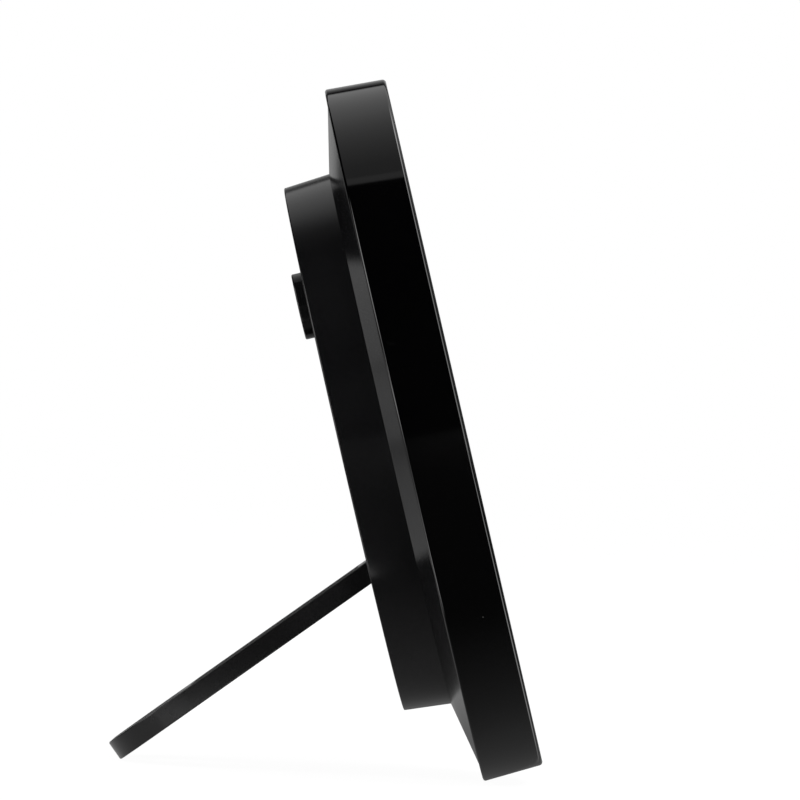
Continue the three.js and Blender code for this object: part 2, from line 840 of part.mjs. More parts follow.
function intermediateWheel(train, index) {
  const [x, z] = train.intermediate;
  const toCentre = train.toIntermediate + Math.PI;
  return joined(
    gear(pinionTeeth, coarseModule, index, train.intermediate, toCentre, true, pinionMargin),
    gear(rotorWheelTeeth, fineModule, index + 1, train.intermediate, train.toRotor, false),
    rod(pivotRadius, pivotFront, pivotBack, x, z),
  );
}

const magnetMiddle = layer(minuteLayer);

function rotor(train, index) {
  const [x, z] = train.rotor;
  const magnetFront = magnetMiddle - magnetHeight / 2;
  return joined(
    gear(pinionTeeth, fineModule, index + 1, train.rotor, train.toRotor + Math.PI, true, pinionMargin),
    rod(magnetRadius, magnetFront, magnetFront + magnetHeight, x, z),
    rod(pivotRadius, pivotFront, pivotBack, x, z),
  );
}

// Motor iron: a bar through the coil, two legs, and an eye round the rotor

const coilDrop = movementSide / 2 - movementWall - coilRadius - seat - slideFit;

function stator(train) {
  const [x, z] = train.rotor;
  const { side } = train;
  const front = magnetMiddle - statorThickness / 2;
  const back = front + statorThickness;
  const barTop = -coilDrop + statorBar / 2;
  const barBottom = -coilDrop - statorBar / 2;
  const inner = side * coilInner;
  const outer = side * (coilInner + coilLength + 2 * statorBar);
  const innerLeg = inner + side * statorBar;
  const outerLeg = outer - side * statorBar;
  const outline = new THREE.Shape([
    [inner, barBottom],
    [outer, barBottom],
    [outer, z],
    [outerLeg, z],
    [outerLeg, barTop],
    [innerLeg, barTop],
    [innerLeg, barTop + statorBar],
    [x - side * statorArm * Math.SQRT1_2, z],
    [x - side * statorArm, z],
    [inner, barTop + statorBar],
  ].map(([px, pz]) => new THREE.Vector2(px, pz)));
  const eye = rod(statorArm, front, back, x, z, midFacets);
  return cut(joined(plate(outline, front, back), eye), rod(statorHole, front - seat, back + seat, x, z));
}

function motorCoil(train) {
  const start = train.side * (coilInner + statorBar + seat);
  const end = train.side * (coilInner + statorBar + coilLength - seat);
  const left = Math.min(start, end);
  const right = Math.max(start, end);
  const halfBar = statorBar / 2 + seat;
  const halfPlate = statorThickness / 2 + seat;
  return cut(
    crossRod(coilRadius, left, right, magnetMiddle, -coilDrop, midFacets),
    block(
      [left - seat, magnetMiddle - halfPlate, -coilDrop - halfBar],
      [right + seat, magnetMiddle + halfPlate, -coilDrop + halfBar],
    ),
  );
}

// Movement box

const pivotPlaces = [motionPlace, minuteTrain.intermediate, minuteTrain.rotor,
  secondTrain.intermediate, secondTrain.rotor];

function movementBlock(margin, front, back) {
  const half = movementSide / 2 - margin;
  return block([-half, front, -half], [half, back, half]);
}

function movementCase() {
  const shell = cut(
    movementBlock(0, movementFront, coverSeat),
    movementBlock(movementWall, plateInner, coverSeat + seat),
  );
  const ledges = [-1, 1].map((side) => {
    const inner = side * coilInner;
    const outer = side * (coilInner + statorBar);
    const bottom = -coilDrop - statorBar / 2;
    return block(
      [Math.min(inner, outer), plateInner - seat, bottom],
      [Math.max(inner, outer), magnetMiddle - statorThickness / 2 - seat, bottom + 2 * statorBar],
    );
  });
  const bush = rod(bushRadius, bushFront, plateInner, 0, 0, midFacets);
  const bore = rod(bushBore, bushFront - seat, plateInner + seat, 0, 0, midFacets);
  const holes = pivotPlaces.map(([x, z]) => rod(pivotHole, pivotFront - seat, plateInner + seat, x, z));
  return cut(joined(shell, bush, ...ledges), bore, ...holes);
}

function movementCover() {
  const holes = [...pivotPlaces, centre].map(([x, z]) => (
    rod(pivotHole, coverFront - seat, pivotBack + seat, x, z)
  ));
  return cut(movementBlock(0, coverFront, coverBack), ...holes);
}

function dialWasher() {
  return cut(
    rod(washerRadius, washerBack - washerThickness, washerBack, 0, 0, midFacets),
    rod(bushRadius + runningFit, washerBack - washerThickness - seat, washerBack + seat, 0, 0, midFacets),
  );
}

function dialNut() {
  const hexSides = 6;
  const hexRadius = nutAcrossFlats / 2 / Math.cos(Math.PI / hexSides);
  return cut(
    rod(hexRadius, nutBack - nutThickness, nutBack, 0, 0, hexSides),
    rod(bushRadius + runningFit, nutBack - nutThickness - seat, nutBack + seat, 0, 0, midFacets),
  );
}

// Leads, each along points of [x, depth, z]

const boardPad = boardBack - boardThickness - seat;
const tailPad = tailEnd - seat;

function leadAlong(route, section) {
  const path = new THREE.CatmullRomCurve3(route.map((point) => new THREE.Vector3(...point)));
  const shape = new THREE.Shape(section.map(([a, b]) => new THREE.Vector2(a, b)));
  const options = { steps: leadSteps, bevelEnabled: false, extrudePath: path };
  return solidOf(new THREE.ExtrudeGeometry(shape, options));
}

const leadSection = Array.from({ length: leadSides }, (_, i) => {
  const turn = (2 * Math.PI * i) / leadSides;
  return [leadRadius * Math.cos(turn), leadRadius * Math.sin(turn)];
});
const ribbonSection = [[-1, -1], [1, -1], [1, 1], [-1, 1]].map(([a, b]) => (
  [a * ribbonWidth / 2, b * ribbonThickness / 2]
));

function batteryLead(end, level, pad) {
  const [low, high] = contactSpan(end);
  return leadAlong([
    [batteryOffset, tailPad, (low + high) / 2],
    [batteryOffset, tailPad - leadBend, (low + high) / 2 - leadBend / 2],
    [(batteryOffset + crossingHalf) / 2, leadDepth - leadBend / 2, level + 2 * leadBend],
    [crossingHalf, leadDepth, level],
    [-crossingHalf, leadDepth, level],
    [(pad[0] - crossingHalf) / 2, (leadDepth + boardPad) / 2, level + leadBend],
    [pad[0], boardPad - 2 * leadBend, pad[1] - leadBend / 2],
    [pad[0], boardPad, pad[1]],
  ], leadSection);
}

function aerialLead() {
  const coilEnd = -aerialCoilLength / 2 - seat;
  const coilSide = rodDepth - rodRadius - 2 * leadRadius;
  return leadAlong([
    [coilEnd, coilSide, -rodDrop],
    [coilEnd - 2 * leadBend, coilSide - leadBend / 2, -rodDrop],
    [(coilEnd + aerialPad[0]) / 2, boardPad - 2 * leadBend, (aerialPad[1] - rodDrop) / 2 - leadBend],
    [aerialPad[0], boardPad - 2 * leadBend, aerialPad[1] - leadBend / 2],
    [aerialPad[0], boardPad, aerialPad[1]],
  ], leadSection);
}

function motorLead() {
  const boxSide = -movementSide / 2 - seat;
  const ribbonDepth = (movementFront + coverBack) / 2;
  return leadAlong([
    [boxSide, ribbonDepth, ribbonPad[1]],
    [boxSide - 3 * leadBend, ribbonDepth, ribbonPad[1]],
    [ribbonPad[0] + 3 * leadBend, ribbonDepth + leadBend / 2, ribbonPad[1]],
    [ribbonPad[0], boardPad - 2 * leadBend, ribbonPad[1]],
    [ribbonPad[0], boardPad, ribbonPad[1]],
  ], ribbonSection);
}

// Hands, pointing up and then turned clockwise to their time

function handShape(length, tail, width, hubRadius) {
  const half = width / 2;
  const shoulder = Math.sqrt(hubRadius * hubRadius - half * half);
  const hubTurn = Math.asin(half / hubRadius);
  const shape = new THREE.Shape();
  shape.moveTo(half, shoulder);
  shape.lineTo(half, length - half);
  shape.lineTo(0, length);
  shape.lineTo(-half, length - half);
  shape.lineTo(-half, shoulder);
  shape.absarc(0, 0, hubRadius, Math.PI / 2 + hubTurn, 1.5 * Math.PI - hubTurn, false);
  shape.lineTo(-half, -tail);
  shape.lineTo(half, -tail);
  shape.lineTo(half, -shoulder);
  shape.absarc(0, 0, hubRadius, 1.5 * Math.PI + hubTurn, 2.5 * Math.PI - hubTurn, false);
  return shape;
}

function pipeHand(length, tail, width, pipe, back) {
  return cut(
    plate(handShape(length, tail, width, pipe + hubWall), back - handThickness, back, smallFacets / 2),
    rod(pipe + runningFit, back - handThickness - seat, back + seat),
  );
}

function secondHand() {
  const front = secondHandBack - secondHandThickness;
  const shape = handShape(secondHandLength, secondHandTail, secondHandWidth, secondHubRadius);
  return cut(
    joined(
      plate(shape, front, secondHandBack, smallFacets / 2),
      rod(secondHubRadius, front - handThickness, secondHandBack, 0, 0, midFacets),
    ),
    rod(secondArbor + runningFit, front - seat / 2, secondHandBack + seat),
  );
}

// Assembly

const clock = new THREE.Group();

addPiece(clock, 'front_case', frontCase(), glossBlack);
addPiece(clock, 'lens', lens(), clearPlastic);
addPiece(clock, 'dial_spacer', dialSpacer(), satinBlack);
addPiece(clock, 'dial', dial(), dialWhite);
addPiece(clock, 'dial_washer', dialWasher(), steel);
addPiece(clock, 'dial_nut', dialNut(), brass);

const hands = [
  ['hour_hand', pipeHand(hourHandLength, hourHandTail, hourHandWidth, hourPipe, hourHandBack), hourAngle],
  ['minute_hand', pipeHand(minuteHandLength, minuteHandTail, minuteHandWidth, minutePipe, minuteHandBack),
    minuteAngle],
];
for (const [name, solid, angle] of hands) {
  const turn = new THREE.Group();
  turn.rotation.y = angle;
  addPiece(turn, name, solid, handBlack);
  clock.add(turn);
}
const secondTurn = new THREE.Group();
secondTurn.rotation.y = secondAngle;
addPiece(secondTurn, 'second_hand', secondHand(), handRed);
clock.add(secondTurn);

addPiece(clock, 'movement_case', movementCase(), greyPlastic);
addPiece(clock, 'movement_cover', movementCover(), greyPlastic);
addPiece(clock, 'hour_wheel', hourWheel(), gearWhite);
addPiece(clock, 'minute_wheel', minuteWheel(), gearWhite);
addPiece(clock, 'second_wheel', secondWheel(), gearWhite);
addPiece(clock, 'motion_wheel', motionWheel(), gearWhite);
const trains = [['minute', minuteTrain, minuteLayer], ['second', secondTrain, secondLayer]];
for (const [name, train, index] of trains) {
  addPiece(clock, `${name}_intermediate_wheel`, intermediateWheel(train, index), gearWhite);
  addPiece(clock, `${name}_rotor`, rotor(train, index), magnetGrey);
  addPiece(clock, `${name}_stator`, stator(train), steel);
  addPiece(clock, `${name}_coil`, motorCoil(train), copper);
}

addPiece(clock, 'rear_case', rearCase(), satinBlack);
addPiece(clock, 'hanger_plate', hangerPlate(), steel);

const standArm = new THREE.Group();
standArm.position.set(0, pivotDepth, -pivotDrop);
standArm.rotation.x = -standOpenAngle;
addPiece(standArm, 'stand', stand(), satinBlack);
clock.add(standArm);
addPiece(clock, 'stand_pin_left', standPin(-1), steel);
addPiece(clock, 'stand_pin_right', standPin(1), steel);

addPiece(clock, 'battery', battery(), cellGrey);
addPiece(clock, 'battery_contact_positive', batteryContact(1), steel);
addPiece(clock, 'battery_contact_negative', batteryContact(-1), steel);
addPiece(clock, 'battery_cover', batteryCover(), satinBlack);

addPiece(clock, 'receiver_board', receiverBoard(), boardGreen);
boardScrewPlaces.forEach((z, i) => addPiece(clock, `board_screw_${i + 1}`, boardScrew(z), steel));
buttonNames.forEach((name, i) => {
  addPiece(clock, `${name}_button`, button(buttonPlaces[i]), satinBlack);
  addPiece(clock, `${name}_switch`, tactSwitch(buttonPlaces[i]), magnetGrey);
});
addPiece(clock, 'ferrite_rod', ferriteRod(), ferrite);
addPiece(clock, 'aerial_coil', aerialCoil(), copper);
addPiece(clock, 'battery_lead_positive', batteryLead(1, positiveLevel, positivePad), leadRed);
addPiece(clock, 'battery_lead_negative', batteryLead(-1, negativeLevel, negativePad), handBlack);
addPiece(clock, 'aerial_lead', aerialLead(), copper);
addPiece(clock, 'motor_lead', motorLead(), greyPlastic);

// The clock leans until the case's lowest facet and the foot of the stand touch one level
const standDown = Math.PI - standOpenAngle;
const footHalf = standThickness / 2;
const footDepth = pivotDepth + standLength * Math.sin(standDown) - footHalf * Math.cos(standDown);
const footHeight = -pivotDrop - standLength * Math.cos(standDown) - footHalf * Math.sin(standDown);
const rimHeight = -backRadius * Math.cos(Math.PI / rimFacets);
const rimDepth = caseDepth - backEdge;
const lean = Math.atan2(footHeight - rimHeight, footDepth - rimDepth);
clock.rotation.x = -lean;

// Stood on z = 0 with its box centred on the origin
const object = new THREE.Group();
object.add(clock);
object.updateMatrixWorld(true);
const box = new THREE.Box3().setFromObject(object, true);
const middle = box.getCenter(new THREE.Vector3());
clock.position.set(-middle.x, -middle.y, -box.min.z);

export default object;
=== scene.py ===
# Round black clock on its stand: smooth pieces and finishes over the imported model
import json
import math
from functools import reduce
import bpy
from mathutils import Matrix, Vector


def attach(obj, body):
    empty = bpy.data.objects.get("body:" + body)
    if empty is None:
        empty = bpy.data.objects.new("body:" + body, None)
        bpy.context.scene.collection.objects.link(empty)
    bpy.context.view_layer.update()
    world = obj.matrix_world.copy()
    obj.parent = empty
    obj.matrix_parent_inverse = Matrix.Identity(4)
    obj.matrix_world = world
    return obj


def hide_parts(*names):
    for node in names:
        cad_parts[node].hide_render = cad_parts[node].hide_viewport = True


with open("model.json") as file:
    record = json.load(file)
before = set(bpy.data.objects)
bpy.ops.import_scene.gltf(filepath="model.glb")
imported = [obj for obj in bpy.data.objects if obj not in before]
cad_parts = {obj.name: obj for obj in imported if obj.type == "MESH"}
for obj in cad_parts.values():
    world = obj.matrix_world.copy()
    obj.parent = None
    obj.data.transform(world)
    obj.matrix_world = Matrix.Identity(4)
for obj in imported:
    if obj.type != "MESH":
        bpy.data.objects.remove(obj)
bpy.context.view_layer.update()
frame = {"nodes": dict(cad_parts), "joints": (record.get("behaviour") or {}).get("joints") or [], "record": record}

mm = 0.001
joinDistance = 2e-6
onPlane = 1e-6  # a point this near lies on a plane
cornerFacing = 0.8  # faces that agree less than this meet in a corner
jointOf = {joint["name"]: joint for joint in frame["joints"]}
dialAxis = Vector(jointOf["minute_spin"]["axis"])
dialCentre = Vector(jointOf["minute_spin"]["pos_m"])
lean = math.atan2(-dialAxis.z, dialAxis.y)
clockPlace = Matrix.Translation(dialCentre) @ Matrix.Rotation(-lean, 4, "X")
standOpen = math.radians(jointOf["stand_hinge"]["range_deg"][1])
standPivot = Vector(jointOf["stand_hinge"]["pos_m"])
standPlace = Matrix.Translation(standPivot) @ Matrix.Rotation(-lean - standOpen, 4, "X")
print("frame loaded, clock leans", round(math.degrees(lean), 2), "degrees")


# Modelling steps

def startFresh(piece=None):
    if bpy.context.object and bpy.context.object.mode != "OBJECT":
        bpy.ops.object.mode_set(mode="OBJECT")
    bpy.ops.object.select_all(action="DESELECT")
    if piece:
        piece.select_set(True)
        bpy.context.view_layer.objects.active = piece


def softLine(corners, arcSteps=4):
    # corners are (a, b) or (a, b, radius); a radius rounds the corner
    line = []
    for i, corner in enumerate(corners):
        here = Vector(corner[:2])
        if len(corner) < 3:
            line.append(here)
            continue
        before = (Vector(corners[i - 1][:2]) - here).normalized()
        after = (Vector(corners[(i + 1) % len(corners)][:2]) - here).normalized()
        half = before.angle(after) / 2
        centre = here + (before + after).normalized() * (corner[2] / math.sin(half))
        reach = corner[2] / math.tan(half)
        fromArm = here + before * reach - centre
        toArm = here + after * reach - centre
        swing = [fromArm.slerp(toArm, k / arcSteps).normalized() for k in range(arcSteps + 1)]
        line += [centre + arm * corner[2] for arm in swing]
    return line


def joinPoints():
    # merges points that lie together; leaves all selected
    bpy.ops.mesh.select_all(action="SELECT")
    bpy.ops.mesh.remove_doubles(threshold=joinDistance)
    bpy.ops.mesh.select_all(action="SELECT")


def drawLine(name, points, closed):
    # one vertex, then extruded from point to point; leaves edit mode on, all selected
    startFresh()
    bpy.ops.mesh.primitive_plane_add(size=mm, location=points[0])
    piece = bpy.context.object
    piece.name = piece.data.name = name
    bpy.ops.object.mode_set(mode="EDIT")
    bpy.context.tool_settings.mesh_select_mode = (True, False, False)
    bpy.ops.mesh.merge(type="CENTER")
    following = points[1:] + points[:1] if closed else points[1:]
    for here, there in zip(points, following):
        bpy.ops.mesh.extrude_region_move(TRANSFORM_OT_translate={"value": there - here})
    joinPoints()
    return piece


def closeUp(piece):
    # tidies a finished solid and bakes its place into the mesh
    joinPoints()
    bpy.ops.mesh.normals_make_consistent(inside=False)
    startFresh(piece)
    bpy.ops.object.transform_apply(location=True, rotation=True, scale=True)
    return piece


def turned(name, profile, steps, closed=True, at=(0, 0), arcSteps=4):
    # a profile of (radius, depth) spun round the depth axis through x, z
    line = softLine(profile, arcSteps)
    points = [Vector((at[0] + radius, depth, at[1])) * mm for radius, depth in line]
    piece = drawLine(name, points, closed)
    bpy.ops.mesh.spin(steps=steps, angle=2 * math.pi,
                      center=(at[0] * mm, 0, at[1] * mm), axis=(0, 1, 0))
    closeUp(piece)
    if not closed:
        pick(piece, "VERT", lambda v: math.hypot(v.x - at[0] * mm, v.z - at[1] * mm) < joinDistance)
        bpy.ops.mesh.dissolve_verts()
        startFresh(piece)
    return piece


def disc(name, radius, front, back, steps, at=(0, 0), rounds=(0, 0)):
    # a round solid between two depths, each rim with its own rounding
    rims = [(radius, depth, curve) if curve else (radius, depth)
            for depth, curve in zip((front, back), rounds)]
    return turned(name, [(0, front), *rims, (0, back)], steps, closed=False, at=at)


def slab(name, points, along):
    piece = drawLine(name, points, True)
    bpy.ops.mesh.edge_face_add()
    bpy.ops.mesh.extrude_region_move(TRANSFORM_OT_translate={"value": along})
    return closeUp(piece)


def plate(name, outline, front, back, arcSteps=6):
    # an outline of (x, z) made solid between two depths
    points = [Vector((x, front, z)) * mm for x, z in softLine(outline, arcSteps)]
    return slab(name, points, (0, (back - front) * mm, 0))


def bar(name, outline, halfWidth):
    # an outline of (depth, height) made solid across the clock
    points = [Vector((-halfWidth, depth, z)) * mm for depth, z in outline]
    return slab(name, points, (2 * halfWidth * mm, 0, 0))


def roundedBox(left, right, low, high, radius):
    return [(left, low, radius), (right, low, radius), (right, high, radius), (left, high, radius)]


def pick(piece, mode, test):
    # selects vertices, or edges at corners, whose place passes the test, in edit mode
    startFresh(piece)
    mesh = piece.data
    for group in (mesh.vertices, mesh.edges, mesh.polygons):
        group.foreach_set("select", [False] * len(group))
    bpy.context.tool_settings.mesh_select_mode = (mode == "VERT", mode == "EDGE", False)
    if mode == "VERT":
        for vert in mesh.vertices:
            vert.select = bool(test(vert.co))
    else:
        facing = {}
        for face in mesh.polygons:
            for key in face.edge_keys:
                facing.setdefault(key, []).append(face.normal)
        for edge in mesh.edges:
            sides = facing.get(tuple(sorted(edge.vertices)), [])
            corner = len(sides) == 2 and sides[0].dot(sides[1]) < cornerFacing
            ends = [mesh.vertices[v].co for v in edge.vertices]
            edge.select = bool(corner and test(*ends))
    bpy.ops.object.mode_set(mode="EDIT")


def alter(piece, kind, **settings):
    # adds a modifier and applies it
    startFresh(piece)
    change = piece.modifiers.new(kind, kind)
    for key, value in settings.items():
        setattr(change, key, value)
    bpy.ops.object.modifier_apply(modifier=change.name)
    return piece


def carve(piece, tool, operation="DIFFERENCE"):
    alter(piece, "BOOLEAN", operation=operation, solver="EXACT", object=tool)
    bpy.data.objects.remove(tool)
    return piece


def soften(piece, width, segments=3, angle=40):
    return alter(piece, "BEVEL", width=width * mm, segments=segments, limit_method="ANGLE",
                 angle_limit=math.radians(angle))


def merge(name, pieces):
    startFresh(pieces[0])
    for piece in pieces:
        piece.select_set(True)
    bpy.ops.object.join()
    pieces[0].name = pieces[0].data.name = name
    return pieces[0]


def settle(piece, place, body, slot, nodes=(), finish=None, smooth=35):
    # moves a piece to its place, smooths it and hangs it on its body
    startFresh(piece)
    piece.matrix_world = place
    bpy.ops.object.transform_apply(location=True, rotation=True, scale=True)
    bpy.ops.object.shade_smooth_by_angle(angle=math.radians(smooth))
    alter(piece, "WEIGHTED_NORMAL", keep_sharp=True)
    piece.data.materials.clear()
    piece.data.materials.append(finishes[finish or finishOfSlot[slot]])
    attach(piece, body)
    if nodes:
        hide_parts(*nodes)
    return piece


# Finishes

def newGroup(name, inputs, outputs):
    group = bpy.data.node_groups.new(name, "ShaderNodeTree")
    group.interface.new_socket("Place", in_out="INPUT", socket_type="NodeSocketVector")
    for socketName, value in inputs:
        socket = group.interface.new_socket(socketName, in_out="INPUT", socket_type="NodeSocketFloat")
        socket.default_value = value
    for socketName in outputs:
        group.interface.new_socket(socketName, in_out="OUTPUT", socket_type="NodeSocketFloat")
    return group, group.nodes.new("NodeGroupInput"), group.nodes.new("NodeGroupOutput")


def addNode(tree, kind, inputs, **settings):
    # plain values are set on their sockets, outputs of other nodes are linked to them
    node = tree.nodes.new("ShaderNode" + kind)
    for key, value in settings.items():
        setattr(node, key, value)
    for key, value in inputs.items():
        if isinstance(value, bpy.types.NodeSocket):
            tree.links.new(value, node.inputs[key])
        else:
            node.inputs[key].default_value = value
    return node


def mathNode(tree, operation, first, second=0.0, clamp=False):
    return addNode(tree, "Math", {0: first, 1: second}, operation=operation, use_clamp=clamp).outputs[0]


def spread(tree, value, fromLow, fromHigh, toLow, toHigh, smooth=False):
    return addNode(tree, "MapRange", {0: value, 1: fromLow, 2: fromHigh, 3: toLow, 4: toHigh},
                   interpolation_type="SMOOTHSTEP" if smooth else "LINEAR").outputs[0]


def vectorNode(tree, operation, first, second=(0, 0, 0)):
    return addNode(tree, "VectorMath", {0: first, 1: second}, operation=operation).outputs["Value"]


def axes(tree, place):
    return addNode(tree, "SeparateXYZ", {0: place}).outputs


def noise(tree, place, scale, detail=3):
    return addNode(tree, "TexNoise", {"Vector": place, "Scale": scale, "Detail": detail}).outputs["Fac"]


def makeMouldGrain():
    # fine grain of a mould, and slow cloudy patches over the whole surface
    group, start, end = newGroup("mouldGrain", [("Scale", 3000), ("Cloud Scale", 25)], ["Grain", "Cloud"])
    group.links.new(noise(group, start.outputs["Place"], start.outputs["Scale"]), end.inputs["Grain"])
    cloud = noise(group, start.outputs["Place"], start.outputs["Cloud Scale"], 5)
    group.links.new(spread(group, cloud, 0.3, 0.7, 0, 1), end.inputs["Cloud"])
    return group


wear = {
    "dustScale": 160, "speck": 0.035, "dustFrom": 0.93, "dustColour": (0.32, 0.32, 0.31),
    "scuffScale": (900, 60, 35), "scuffTurn": (0.3, 0.2, 0.5), "scuffFrom": (0.68, 0.76), "scuffRough": 0.06,
}


def makeHandling(s):
    # specks of dust and long hairline scuffs
    sizes = [("Dust Scale", s["dustScale"]), ("Speck", s["speck"])]
    group, start, end = newGroup("handling", sizes, ["Dust", "Scuff"])
    place = start.outputs["Place"]
    cells = addNode(group, "TexVoronoi", {"Vector": place, "Scale": start.outputs["Dust Scale"]})
    near = mathNode(group, "LESS_THAN", cells.outputs["Distance"], start.outputs["Speck"])
    pickOne = addNode(group, "SeparateColor", {0: cells.outputs["Color"]})
    chosen = mathNode(group, "GREATER_THAN", pickOne.outputs[0], s["dustFrom"])
    group.links.new(mathNode(group, "MULTIPLY", near, chosen), end.inputs["Dust"])
    stretch = addNode(group, "Mapping", {
        "Vector": place, "Scale": s["scuffScale"], "Rotation": s["scuffTurn"]})
    lines = noise(group, stretch.outputs[0], 1.0, 2)
    group.links.new(spread(group, lines, *s["scuffFrom"], 0, 1), end.inputs["Scuff"])
    return group


mouldGrain = makeMouldGrain()
handling = makeHandling(wear)


def newFinish(name):
    # an empty finish whose place is measured in the clock's own frame, from the dial centre
    finish = bpy.data.materials.new(name)
    finish.use_nodes = True
    tree = finish.node_tree
    shader = tree.nodes["Principled BSDF"]
    where = addNode(tree, "TexCoord", {})
    place = addNode(tree, "Mapping", {
        "Vector": where.outputs["Object"], "Location": dialCentre, "Rotation": (-lean, 0, 0),
    }, vector_type="TEXTURE")
    return finish, tree, shader, place.outputs[0]


def mixColour(tree, amount, first, second):
    # sockets 6 and 7 and output 2 are those for colours
    colours = [(*value, 1) if isinstance(value, tuple) else value for value in (first, second)]
    return addNode(tree, "Mix", {0: amount, 6: colours[0], 7: colours[1]}, data_type="RGBA").outputs[2]


def mixShaders(tree, amount, first, second):
    both = addNode(tree, "MixShader", {0: amount, 1: first.outputs[0], 2: second.outputs[0]})
    tree.links.new(both.outputs[0], tree.nodes["Material Output"].inputs["Surface"])


def addSkin(tree, place, grainScale, cloudScale):
    inputs = {"Place": place, "Scale": grainScale, "Cloud Scale": cloudScale}
    skin = addNode(tree, "Group", inputs, node_tree=mouldGrain)
    return skin.outputs["Grain"], skin.outputs["Cloud"]


def dress(tree, shader, colour, roughness, height, depth):
    bump = addNode(tree, "Bump", {"Distance": depth * mm, "Height": height})
    tree.links.new(colour, shader.inputs["Base Color"])
    tree.links.new(roughness, shader.inputs["Roughness"])
    tree.links.new(bump.outputs[0], shader.inputs["Normal"])


def moulded(name, dark, light, rough, grain=(3000, 0.004), cloudScale=25, dust=0.0, metallic=0.0, ior=1.5):
    finish, tree, shader, place = newFinish(name)
    shader.inputs["Metallic"].default_value = metallic
    shader.inputs["IOR"].default_value = ior
    height, cloud = addSkin(tree, place, grain[0], cloudScale)
    colour = mixColour(tree, cloud, dark, light)
    roughness = spread(tree, cloud, 0, 1, *rough)
    if dust:
        worn = addNode(tree, "Group", {"Place": place}, node_tree=handling)
        specks = mathNode(tree, "MULTIPLY", worn.outputs["Dust"], dust)
        colour = mixColour(tree, specks, colour, wear["dustColour"])
        scuffed = mathNode(tree, "MULTIPLY", worn.outputs["Scuff"], wear["scuffRough"])
        roughness = mathNode(tree, "ADD", roughness, scuffed, True)
    dress(tree, shader, colour, roughness, height, grain[1])
    return finish


plainFinishes = {
    # dark and light colour, roughness, grain scale and depth, cloud scale, dust, metallic, refraction
    "piano_black": ((0.0003, 0.0003, 0.0004), (0.0007, 0.0007, 0.0008), (0.04, 0.06), (300, 0.0004), 18, 0.3),
    "satin_black": ((0.0045, 0.0045, 0.005), (0.008, 0.008, 0.0085), (0.12, 0.16), (2600, 0.001), 22, 0.3, 0,
                    1.46),
    "stand_black": ((0.0018, 0.0018, 0.002), (0.0034, 0.0034, 0.0037), (0.16, 0.2), (2600, 0.0015), 30, 0.25),
    "spacer_black": ((0.010, 0.010, 0.011), (0.016, 0.016, 0.017), (0.4, 0.5), (2600, 0.004)),
    "key_rubber": ((0.018, 0.018, 0.019), (0.026, 0.026, 0.027), (0.55, 0.66), (4200, 0.006), 60),
    "ink_black": ((0.010, 0.010, 0.011), (0.014, 0.014, 0.015), (0.5, 0.6), (5200, 0.002), 90),
    "hand_lacquer": ((0.008, 0.008, 0.009), (0.014, 0.014, 0.015), (0.22, 0.3), (3600, 0.0015), 70),
    "red_lacquer": ((0.42, 0.016, 0.010), (0.52, 0.03, 0.018), (0.24, 0.32), (3600, 0.0015), 70),
    "zinc_steel": ((0.50, 0.51, 0.53), (0.66, 0.67, 0.68), (0.26, 0.38), (1500, 0.002), 220, 0, 1.0),
    "turned_brass": ((0.66, 0.47, 0.17), (0.78, 0.58, 0.25), (0.24, 0.34), (1500, 0.002), 260, 0, 1.0),
    "gear_acetal": ((0.74, 0.72, 0.66), (0.84, 0.82, 0.77), (0.38, 0.48), (2600, 0.004), 120),
    "movement_grey": ((0.14, 0.15, 0.16), (0.19, 0.20, 0.21), (0.42, 0.52), (2600, 0.006), 60),
    "switch_dark": ((0.04, 0.04, 0.045), (0.06, 0.06, 0.065), (0.4, 0.5), (3600, 0.005), 160),
    "sintered_grey": ((0.03, 0.03, 0.034), (0.06, 0.06, 0.064), (0.5, 0.64), (5200, 0.012), 160),
    "magnet_grey": ((0.20, 0.20, 0.21), (0.28, 0.28, 0.29), (0.36, 0.48), (4200, 0.008), 200, 0, 0.7),
    "red_sleeve": ((0.33, 0.016, 0.012), (0.40, 0.025, 0.018), (0.36, 0.46), (2600, 0.004), 120),
    "black_sleeve": ((0.012, 0.012, 0.012), (0.02, 0.02, 0.02), (0.36, 0.46), (2600, 0.004), 120),
    "grey_sleeve": ((0.26, 0.26, 0.27), (0.34, 0.34, 0.35), (0.4, 0.5), (2600, 0.004), 120),
}
finishes = {name: moulded(name, *values) for name, values in plainFinishes.items()}

standEnd = {"rubbed": (80.0, 93.0), "dull": 0.1}


def dullEnd(finish, s):
    # the end of the stand, rubbed duller than the rest where it is handled
    tree = finish.node_tree
    roughness = tree.nodes["Principled BSDF"].inputs["Roughness"]
    where = addNode(tree, "TexCoord", {})
    direction = standPlace.col[2].to_3d()
    along = vectorNode(tree, "DOT_PRODUCT", where.outputs["Object"], direction)
    start, end = (standPivot.dot(direction) + reach * mm for reach in s["rubbed"])
    rubbed = spread(tree, along, start, end, 0, s["dull"], True)
    tree.links.new(mathNode(tree, "ADD", roughness.links[0].from_socket, rubbed, True), roughness)


dullEnd(finishes["stand_black"], standEnd)

windowLook = {  # a low-glare sheet
    "ior": 1.2, "grain": 60, "cloud": 12, "rough": (0.0, 0.02),
    "tint": ((0.97, 0.98, 0.98), (0.99, 0.995, 0.99)),
}


def makeWindow(s):
    finish, tree, shader, place = newFinish("clear_window")
    shader.inputs["Transmission Weight"].default_value = 1.0
    shader.inputs["IOR"].default_value = s["ior"]
    _, cloud = addSkin(tree, place, s["grain"], s["cloud"])
    tree.links.new(mixColour(tree, cloud, *s["tint"]), shader.inputs["Base Color"])
    tree.links.new(spread(tree, cloud, 0, 1, *s["rough"]), shader.inputs["Roughness"])
    ray = addNode(tree, "LightPath", {}).outputs
    passing = mathNode(tree, "MAXIMUM", ray["Is Shadow Ray"], ray["Is Diffuse Ray"])
    mixShaders(tree, passing, shader, addNode(tree, "BsdfTransparent", {}))
    return finish


